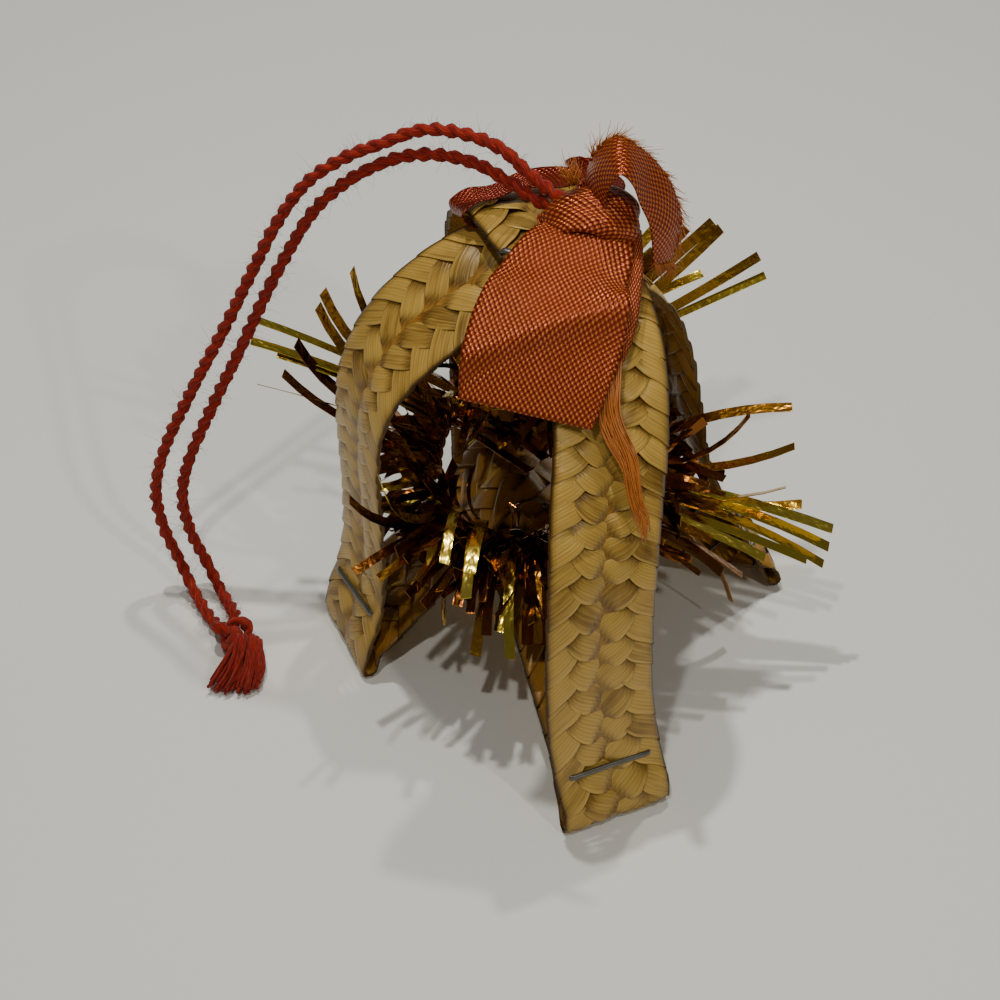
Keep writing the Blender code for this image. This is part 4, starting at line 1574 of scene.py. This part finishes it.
@dataclass
class YarnLoop:
    """The doubled yarn, its knot and its frayed ends.

    Attributes:
        into_bow: where each strand starts, inside the ribbon's knot.
        knot_size: how much larger than the plain form the knot is, each way.
        frayed: how many threads the frayed ends have.
        frayed_root: where they start, from the knot's middle.
        frayed_reach: the least and the greatest length of a thread.
        frayed_side: how far they fan out to each side.
        thread: a thread's radius at its root.
    """

    yarn: TwistedYarn = field(default_factory=TwistedYarn)
    knot_centre: Point = (-52.6, -8.8, 3.6)
    into_bow: tuple[Point, Point] = ((-1.6, 1.6, 79.6), (-2.0, 1.6, 77.6))
    knot_size: Point = (1.05, 0.95, 1.15)
    frayed: int = 150
    frayed_root: Point = (2.6, -1.9, -0.4)
    frayed_reach: Pair = (6.2, 8.6)
    frayed_side: float = 3.9
    thread: float = 0.36

    def build(self, paint: bpy.types.Material) -> None:
        """Makes both strands, the knot and the frayed ends.

        Args:
            paint: the wool.
        """
        knot = self.build_knot(paint)
        tassel = self.build_tassel(paint)
        routes = (
            ("upper", UPPER_STRAND, self.into_bow[0], 3, [knot, tassel]),
            ("lower", LOWER_STRAND, self.into_bow[1], 5, []),
        )
        for name, route, start, seed, ends in routes:
            line = smooth([start, *route, self.knot_centre])
            strand = self.yarn.plies(f"yarn_{name}", line, seed)
            hairs = self.yarn.hairs(f"yarn_{name}_fuzz", line, seed + 20)
            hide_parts(f"yarn_{name}_strand")
            fit(strand, paint)
            fit(hairs, paint)

    def build_knot(self, paint: bpy.types.Material) -> bpy.types.Object:
        """Makes an overhand knot of the doubled yarn, pulled tight.

        Args:
            paint: the wool.

        Returns:
            The knot.
        """
        turns = np.linspace(0, TURN, 97)
        loop = np.stack(
            [
                np.sin(turns) + 1.55 * np.sin(2 * turns),
                np.cos(turns) - 1.55 * np.cos(2 * turns),
                -1.1 * np.sin(3 * turns),
            ],
            axis=1,
        )
        line = np.array(self.knot_centre) + loop * np.array(self.knot_size)
        knot = self.yarn.plies("yarn_knot_wound", line, 9)
        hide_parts("yarn_knot")
        return fit(knot, paint)

    def build_tassel(self, paint: bpy.types.Material) -> bpy.types.Object:
        """Makes the frayed ends: threads that fan out of the knot and lie on the table.

        Args:
            paint: the wool.

        Returns:
            The threads.
        """
        chance = np.random.default_rng(21)
        spread = chance.uniform(-1, 1, self.frayed)
        level = chance.uniform(0, 1, self.frayed)
        reach = chance.uniform(*self.frayed_reach, self.frayed)
        root = np.array(self.knot_centre) + np.array(self.frayed_root)

        def lay(which: Array, share: Array, around: Array) -> Laid:
            """The places of the threads' points.

            Args:
                which: the thread of each point.
                share: its share of the thread's length.
                around: its share of the way round the thread.

            Returns:
                The places and UVs.
            """
            fan = spread[which] * (0.5 + 0.5 * share)
            sway = np.sin(share * 5 + which) * 0.2
            x = root[0] + fan * self.frayed_side - 0.22 * reach[which] * share**2 + sway
            y = root[1] - reach[which] * share * (1 - 0.12 * fan**2)
            heap = (level[which] * 2 - 1) * (2.3 - 1.5 * share) * np.sqrt(1 - 0.8 * fan**2)
            z = 0.35 + heap + 2.9 - 1.9 * share
            middle = np.stack([x, y, np.maximum(z, 0.3)], axis=1)
            slim = self.thread * (1 - 0.4 * share)
            points = middle + round_line(RIGHT, UP, TURN * around) * slim[:, None]
            return Laid(points, pairs(share * 12 + which * 5.0, around * 2))

        tassel = laid_grids("yarn_frayed_ends", self.frayed, 7, 5, lay, Form.TUBE)
        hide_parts("yarn_tassel")
        return fit(tassel, paint)


# ---------------------------------------------------------------- the ribbon

CLOTH = 0.22  # the ribbon's thickness


@dataclass
class RibbonPart:
    """A stretch of ribbon through sections, with its bulges and small creases.

    Attributes:
        sections: centre, direction of the width, width and how far the middle bows out.
        creases: how deep the small uneven folds are.
        ridge: where a slanting fold crosses the middle, its slant, height and breadth.
        across: faces across the ribbon.
        steps: faces along it from section to section.
    """

    name: str
    sections: Sequence[tuple]
    creases: float = 0.25
    ridge: tuple[float, float, float, float] = (0.0, 0.0, 0.0, 1.0)
    across: int = 28
    steps: int = 8
    seed: int = 1

    def lay(self, which: Array, along: Array, aside: Array) -> Laid:
        """The places of the ribbon's points.

        Args:
            which: always 0, for the one stretch.
            along: each point's share of the length.
            aside: its share of the width.

        Returns:
            The places and UVs.
        """
        rows = smooth([(*c, *w, wide, bow) for c, w, wide, bow in self.sections], self.steps)
        tangents = unit(np.gradient(rows[:, :3], axis=0))
        widths = unit(rows[:, 3:6] - tangents * (rows[:, 3:6] * tangents).sum(1)[:, None])
        normals = np.cross(tangents, widths)
        step = np.round(along * (len(rows) - 1)).astype(int)
        side = aside * 2 - 1
        wide, bow = rows[step, 6], rows[step, 7]
        points = rows[step, :3] + widths[step] * (side * wide / 2)[:, None]
        run = lengths_along(rows[:, :3])[step]
        layer = self.seed * 7.3
        places = zip(run, side, wide)
        ripple = np.array([noise.noise(Vector((x * 0.16, y * w * 0.1, layer))) for x, y, w in places])
        at, slant, height, breadth = self.ridge
        fold = height * np.exp(-(((run - at - slant * side * wide / 2) / breadth) ** 2))
        lift = bow * (1 - side**2) + ripple * self.creases + fold
        points = points + normals[step] * lift[:, None]
        return Laid(points, pairs(run, side * np.maximum(wide, 6) / 2))

    def build(self, paint: bpy.types.Material) -> bpy.types.Object:
        """Makes the stretch as a thin piece of cloth.

        Args:
            paint: the satin.

        Returns:
            The stretch.
        """
        along = (len(self.sections) - 1) * self.steps
        made = laid_grids(self.name, 1, along, self.across, self.lay)
        thicken(made, CLOTH)
        return fit(made, paint)


# The tail from the knot down the front strip: centre, direction of the width, width, bow.
TAIL_SECTIONS = (
    ((1.9, 1.2, 79.2), (1.0, 0.0, 0.0), 9.0, 1.4),
    ((1.2, -3.6, 77.6), (1.0, -0.02, 0.0), 13.5, 1.2),
    ((-1.2, -8.6, 75.6), (0.99, -0.08, -0.02), 17.0, 1.0),
    ((-2.6, -12.8, 74.4), (0.99, -0.12, -0.05), 19.6, 0.9),
    ((-4.4, -17.4, 71.6), (0.98, -0.18, -0.07), 20.8, 0.8),
    ((-6.0, -21.6, 67.9), (0.97, -0.23, -0.10), 20.2, 0.6),
    ((-7.2, -25.0, 64.2), (0.95, -0.29, -0.14), 18.5, 0.3),
)
# The tail's edge that is folded under itself, seen as a narrow strip at its right.
FOLD_SECTIONS = (
    ((7.7, -1.6, 77.4), (0.90, 0.20, -0.39), 2.6, 0.2),
    ((7.7, -6.2, 75.3), (0.95, 0.18, -0.3), 2.8, 0.2),
    ((7.2, -10.5, 73.2), (0.93, 0.31, -0.3), 3.2, 0.2),
    ((6.3, -14.5, 71.0), (0.93, 0.30, -0.2), 3.3, 0.2),
    ((5.1, -18.5, 69.0), (0.93, 0.38, -0.1), 2.6, 0.1),
    ((3.7, -22.0, 67.2), (0.85, 0.52, 0.01), 1.6, 0.1),
)
# The curl that stands up behind the knot and comes down on the right.
CURL_SECTIONS = (
    ((2.5, 0.5, 79.6), (-0.39, 0.87, -0.29), 6.2, 0.8),
    ((2.7, 1.0, 83.5), (-0.35, 0.93, -0.11), 7.0, 0.8),
    ((3.8, 1.0, 86.1), (-0.20, 0.98, 0.06), 7.8, 0.7),
    ((5.7, 0.8, 87.7), (-0.04, 0.99, 0.11), 8.0, 0.6),
    ((7.9, 0.5, 86.2), (0.21, 0.98, 0.03), 7.8, 0.5),
    ((9.9, 0.2, 83.5), (0.45, 0.89, -0.04), 7.6, 0.4),
    ((11.4, -0.2, 80.4), (0.60, 0.80, -0.10), 7.0, 0.4),
    ((12.4, -1.1, 76.6), (0.69, 0.68, -0.24), 6.2, 0.3),
    ((12.2, -2.0, 71.9), (0.62, 0.62, -0.48), 4.6, 0.3),
)
# The wrap: length along the front and back band, distance to its side, distance off its face, width.
WRAP_STATIONS = (
    (262.5, 2.0, 3.0, 4.2),
    (261.5, -3.6, 2.1, 4.4),
    (261.0, -7.0, 1.9, 5.0),
    (260.6, -9.3, 0.4, 5.4),
    (260.0, -7.4, -2.1, 5.2),
    (259.0, 0.0, -2.3, 4.6),
    (259.0, 7.6, -2.1, 4.6),
    (260.5, 10.0, 0.0, 4.6),
    (263.0, 8.6, 2.5, 4.6),
)
# The wrap's way from the knot to the band and back, in sections like the tail's.
WRAP_FROM_KNOT = (
    ((1.9, 1.5, 79.8), (0.3, 0.9, -0.3), 5.0, 0.3),
    ((1.0, 6.6, 79.4), (0.0, 0.95, -0.3), 5.4, 0.4),
)
WRAP_TO_KNOT = (
    ((4.6, 5.0, 79.4), (0.4, 0.9, 0.0), 4.6, 0.2),
    ((3.2, 1.0, 79.8), (0.6, 0.8, 0.0), 4.2, 0.2),
)
# The bundle of loose threads from the fold's end, down the front strip.
THREAD_ROUTE = (
    (3.6, -19.5, 68.4),
    (3.9, -22.5, 66.4),
    (4.1, -25.0, 63.6),
    (5.0, -26.8, 61.5),
    (6.4, -28.5, 59.2),
    (7.2, -30.2, 56.9),
    (7.8, -31.8, 54.5),
    (8.8, -33.2, 52.2),
    (9.0, -34.6, 49.8),
)


@dataclass
class RibbonBow:
    """The ribbon: a wrap round the back leg, a knot, a flat tail and a frayed curl.

    Attributes:
        route: the front and back band's.
        threads: how many loose threads hang off the fold.
        frays: how many threads stand off the curl's edge, its end and the knot's top.
        tuft: the middle of the threads on the knot's top.
        knot_centre: the middle of the tied turn.
        knot_axis: the direction of the ribbon that it is wound round.
        knot_turns: how far round it goes, in turns.
        knot_radii: how far it reaches across that direction, level and upright.
        knot_half: half its width.
    """

    route: BandRoute
    threads: int = 110
    frays: tuple[int, int, int] = (420, 240, 90)
    tuft: Point = (-0.6, 1.5, 83.4)
    knot_centre: Point = (1.9, -0.7, 77.8)
    knot_axis: Point = (-0.36, -0.88, -0.26)
    knot_turns: float = 1.12
    knot_radii: Pair = (6.4, 3.9)
    knot_half: float = 4.4

    def build(self, paint: bpy.types.Material, under: bpy.types.Material, thread: bpy.types.Material) -> None:
        """Makes every part of the ribbon.

        Args:
            paint: the ribbon's outer face.
            under: a darker copy of the satin for the wrap, which shows the ribbon's back: partly its duller
                back, partly painted shade.
            thread: its loose threads.
        """
        tail = RibbonPart("ribbon_tail", TAIL_SECTIONS, ridge=(20.4, -0.64, 1.5, 2.6), seed=1).build(paint)
        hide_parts("ribbon_bow")
        RibbonPart("ribbon_fold", FOLD_SECTIONS, creases=0.1, seed=5, across=8).build(paint)
        # the wrap takes the darker copy of the satin: partly the duller back, partly painted shade
        RibbonPart("ribbon_wrap", self.wrap_sections(), creases=0.6, seed=2, across=14).build(under)
        curl = RibbonPart("ribbon_curl", CURL_SECTIONS, creases=0.5, seed=3, across=18)
        curl.build(paint)
        self.build_knot(paint)
        self.build_threads(thread)
        self.build_fray(curl, thread)

    def wrap_sections(self) -> list[tuple]:
        """Lays the wrap round the band, from the knot and back to it.

        Returns:
            Its sections, as RibbonPart takes them.
        """
        held = []
        for at, side, out, wide in WRAP_STATIONS:
            middle, ahead = self.route.place(np.array([at, at + 1]), np.full(2, side), np.full(2, out))
            held.append((tuple(middle), tuple(middle - ahead), wide, 0.4))
        return [*WRAP_FROM_KNOT, *held, *WRAP_TO_KNOT]

    def build_threads(self, paint: bpy.types.Material) -> bpy.types.Object:
        """Makes a bundle of loose threads that tapers down the front strip.

        Args:
            paint: the threads' finish.

        Returns:
            The bundle.
        """
        chance = np.random.default_rng(31)
        line = smooth(THREAD_ROUTE, 4)
        along = lengths_along(line)[-1]
        ends = along * chance.uniform(0.62, 1.0, self.threads)
        places = chance.normal(0.0, 0.5, (self.threads, 2))
        sway = chance.uniform(0.0, TURN, self.threads)

        def lay(which: Array, share: Array, around: Array) -> Laid:
            """The places of the threads' points.

            Args:
                which: the thread of each point.
                share: its share of the thread's length.
                around: its share of the way round the thread.

            Returns:
                The places and UVs.
            """
            at = share * ends[which]
            narrow = 1 - 0.55 * at / along
            aside = places[which, 0] * narrow + 0.12 * np.sin(at * 0.5 + sway[which])
            above = np.abs(places[which, 1]) * narrow * 0.8
            middle = read_along(line, at) + np.outer(aside, (0.96, 0.24, 0.1)) * 1.7
            middle = middle + np.outer(above, (0.0, -0.7, 0.7))
            slim = 0.15 * (1 - 0.5 * share)
            points = middle + round_line(RIGHT, UP, TURN * around) * slim[:, None]
            return Laid(points, pairs(at + which * 5.0, around * 2))

        return fit(laid_grids("ribbon_threads", self.threads, 24, 4, lay, Form.TUBE), paint)

    def build_fray(self, curl: RibbonPart, paint: bpy.types.Material) -> bpy.types.Object:
        """Makes fine threads that stand off the curl's far edge, its end and the knot's top.

        Args:
            curl: the frayed curl.
            paint: the threads' finish.

        Returns:
            The threads.
        """
        on_edge, on_end, on_knot = self.frays
        halves = [(*centre, *unit(np.array(way)) * wide / 2) for centre, way, wide, _ in curl.sections]
        rows = smooth(halves, 6)
        chance = np.random.default_rng(32)
        edge = rows[:, :3] + rows[:, 3:6]
        picks = chance.integers(8, len(rows), on_edge)
        end = rows[-1, :3] + np.outer(chance.uniform(-1, 1, on_end), rows[-1, 3:6])
        tuft = np.array(self.tuft) + chance.normal(0.0, 0.6, (on_knot, 3))
        roots = np.vstack([edge[picks], end, tuft])
        along = unit(np.gradient(rows[:, :3], axis=0))
        from_end = np.tile(along[-1] * 1.5, (on_end, 1))
        from_knot = np.tile((-0.2, 0.2, 1.6), (on_knot, 1))
        lean = np.vstack([along[picks] * 1.7, from_end, from_knot])
        spans = ((1.0, 2.6, on_edge), (0.6, 2.6, on_end), (1.2, 2.6, on_knot))
        lengths = np.concatenate([chance.uniform(*span) for span in spans])
        made = loose_fibres("ribbon_fray", roots, np.zeros_like(lean), 0.0, lengths, 0.08, 33, lean)
        return fit(made, paint)

    def build_knot(self, paint: bpy.types.Material) -> bpy.types.Object:
        """Makes the ribbon's tied turn: a short band wound round the neck of the tail.

        Args:
            paint: the satin.

        Returns:
            The knot.
        """
        axis = unit(np.array(self.knot_axis))
        first = unit(np.cross(axis, UP))
        second = np.cross(first, axis)
        level, upright = self.knot_radii

        def lay(which: Array, along: Array, aside: Array) -> Laid:
            """The places of the band's points.

            Args:
                which: always 0, for the one band.
                along: each point's share of the length.
                aside: its share of the width.

            Returns:
                The places and UVs.
            """
            turn = TURN * self.knot_turns * along - 0.6
            side = aside * 2 - 1
            swell = np.sqrt(np.maximum(1 - (side * 0.82) ** 2, 0))
            grow = 1 + 0.06 * along + 0.05 * np.sin(side * 5 + turn * 2) + 0.03 * np.sin(side * 13 - turn * 3)
            points = np.array(self.knot_centre) + first * (level * np.cos(turn) * swell * grow)[:, None]
            points = points + second * (upright * np.sin(turn) * swell * grow)[:, None]
            points = points + axis * (side * self.knot_half + 1.2 * np.cos(turn + 0.6))[:, None]
            return Laid(points, pairs(along * 33.0, side * 5.0))

        made = laid_grids("ribbon_knot", 1, 64, 20, lay)
        thicken(made, CLOTH)
        return fit(made, paint)


# ---------------------------------------------------------------- the studio

# The lamps' places in metres, their sizes, powers and colours.
LAMPS = {
    "right": ((0.24, -0.32, 0.42), 0.02, 0.42, (1.0, 0.96, 0.88)),
    "front": ((-0.06, -0.21, 0.50), 0.018, 0.55, (1.0, 0.97, 0.90)),
    "above": ((-0.08, 0.10, 0.53), 0.018, 0.98, (1.0, 0.97, 0.90)),
    "back": ((0.07, 0.20, 0.54), 0.02, 0.7, (1.0, 0.97, 0.90)),
}


@dataclass
class Studio:
    """A pale table, small lamps and the camera.

    Attributes:
        elevation: how far down the camera looks, in degrees.
        distance: how far it stands from what it looks at.
        lens: its focal length.
        aim: what it looks at.
        table: the table's darker and lighter shade.
        half_table: half the table's side, in metres.
        lit: what the lamps point at, in metres.
        sky, sky_strength: the light from all round.
    """

    elevation: float = 44.0
    distance: float = 370.0
    lens: float = 82.8
    aim: Point = (-10.5, 12.09, 12.52)
    table: tuple[Point, Point] = ((0.83, 0.835, 0.80), (0.88, 0.885, 0.85))
    half_table: float = 1.5
    lit: Point = (0.0, 0.0, 0.03)
    sky: Point = (1.0, 0.98, 0.94)
    sky_strength: float = 0.12

    def build(self) -> None:
        """Makes the table, the lamps and the camera."""
        self.build_table()
        self.build_lamps()
        self.build_camera()

    def build_table(self) -> None:
        """Makes a matt, faintly uneven table top."""
        built = bmesh.new()
        bmesh.ops.create_grid(built, x_segments=1, y_segments=1, size=self.half_table)
        mesh = bpy.data.meshes.new("table")
        built.to_mesh(mesh)
        built.free()
        table = add_to_scene("table", mesh)
        board = Board("table")
        place = board.add("TexCoord").outputs["Object"]
        cloud = board.noise(place, (1.0, 1.0, 1.0), 3.0, 9.0)
        board.set(Base_Color=board.mix(cloud, *self.table), Roughness=0.7)
        mesh.materials.append(board.material)

    def build_lamps(self) -> None:
        """Makes four small ceiling lamps round the ornament and a dim sky."""
        for name, (place, size, power, colour) in LAMPS.items():
            data = bpy.data.lights.new(name, "AREA")
            data.shape = "DISK"
            data.size = size
            data.energy = power
            data.color = colour
            lamp = add_to_scene(name, data)
            lamp.location = place
            lamp.rotation_euler = (Vector(self.lit) - Vector(place)).to_track_quat("-Z", "Y").to_euler()
        world = bpy.data.worlds.new("room")
        world.use_nodes = True
        background = world.node_tree.nodes["Background"]
        background.inputs[0].default_value = (*self.sky, 1.0)
        background.inputs[1].default_value = self.sky_strength
        bpy.context.scene.world = world

    def build_camera(self) -> None:
        """Makes the camera, which looks down at the front of the ornament."""
        data = bpy.data.cameras.new("camera")
        data.lens = self.lens
        data.sensor_width = 36.0
        data.clip_start, data.clip_end = 0.01, 10.0
        camera = add_to_scene("camera", data)
        tip = math.radians(self.elevation)
        back = np.array((0.0, -math.cos(tip), math.sin(tip)))
        camera.location = in_metres(np.array(self.aim) + back * self.distance)
        camera.rotation_euler = (math.radians(90.0 - self.elevation), 0.0, 0.0)
        bpy.context.scene.camera = camera


# ---------------------------------------------------------------- the whole ornament


def straw_points(routes: Sequence[BandRoute]) -> Array:
    """Points spread over the bands' middle faces.

    Args:
        routes: the bands' routes.

    Returns:
        The points of all of them.
    """
    points = []
    for route in routes:
        at = np.arange(0.0, route.length, 2.0)
        for side in np.linspace(-9.0, 9.0, 9):
            points.append(route.place(at, np.full(len(at), side), np.zeros(len(at))))
    return np.vstack(points)


def build_staples(left_right: BandRoute, front_back: BandRoute, steel: bpy.types.Material) -> None:
    """Makes the staple of each foot and the one across the top.

    Args:
        left_right, front_back: the bands' routes.
        steel: the wire's finish.
    """
    for route, names in ((left_right, ("left", "right")), (front_back, ("front", "back"))):
        for name, fold in zip(names, route.fold_at):
            first, last = STAPLE_FROM_FOLD[name]
            ends = ((fold + first, -HALF_CROWN), (fold + last, HALF_CROWN))
            Staple(f"staple_{name}_wire", f"staple_{name}", route, ends).build(steel)
    Staple("staple_top_wire", "staple_top", front_back, TOP_STAPLE).build(steel)


def main() -> None:
    """Builds the table, the lamps, the camera and the ornament's pieces."""
    logging.basicConfig(level=logging.INFO, format="%(message)s")
    Studio().build()
    straw, film = StrawFinish().make(), FilmFinish().make()
    satin, thread = RibbonFinish().make(), ThreadFinish().make()
    # a darker copy of the satin for the wrap: partly the ribbon's duller back, partly painted shade
    dull = RibbonFinish(thread=(0.26, 0.02, 0.003), gap=(0.14, 0.006, 0.001), bright=(0.42, 0.07, 0.008))
    under = dull.make()
    wool, steel = WoolFinish().make(), SteelFinish().make()

    left_right = BandRoute(LEFT_LEG, LEFT_FOOT, LEFT_RIGHT_ARCH, RIGHT_FOOT, RIGHT_LEG)
    front_back = BandRoute(FRONT_LEG, FRONT_FOOT, FRONT_BACK_ARCH, BACK_FOOT, BACK_LEG)
    # the dome's plait lies flatter than the strip's
    dome = StrawPlait("plait_left_right", "left_right_band", left_right, 4, DOME_SPACING)
    dome.flatten, dome.belly, dome.swing = 0.1, 0.04, 0.27
    dome.build(straw)
    StrawPlait("plait_front_back", "front_back_band", front_back, 5, STRIP_SPACING).build(straw)
    build_staples(left_right, front_back, steel)
    TinselGarland().build(straw_points((left_right, front_back)), film)
    YarnLoop().build(wool)
    RibbonBow(front_back).build(satin, under, thread)


if __name__ == "__main__":
    main()
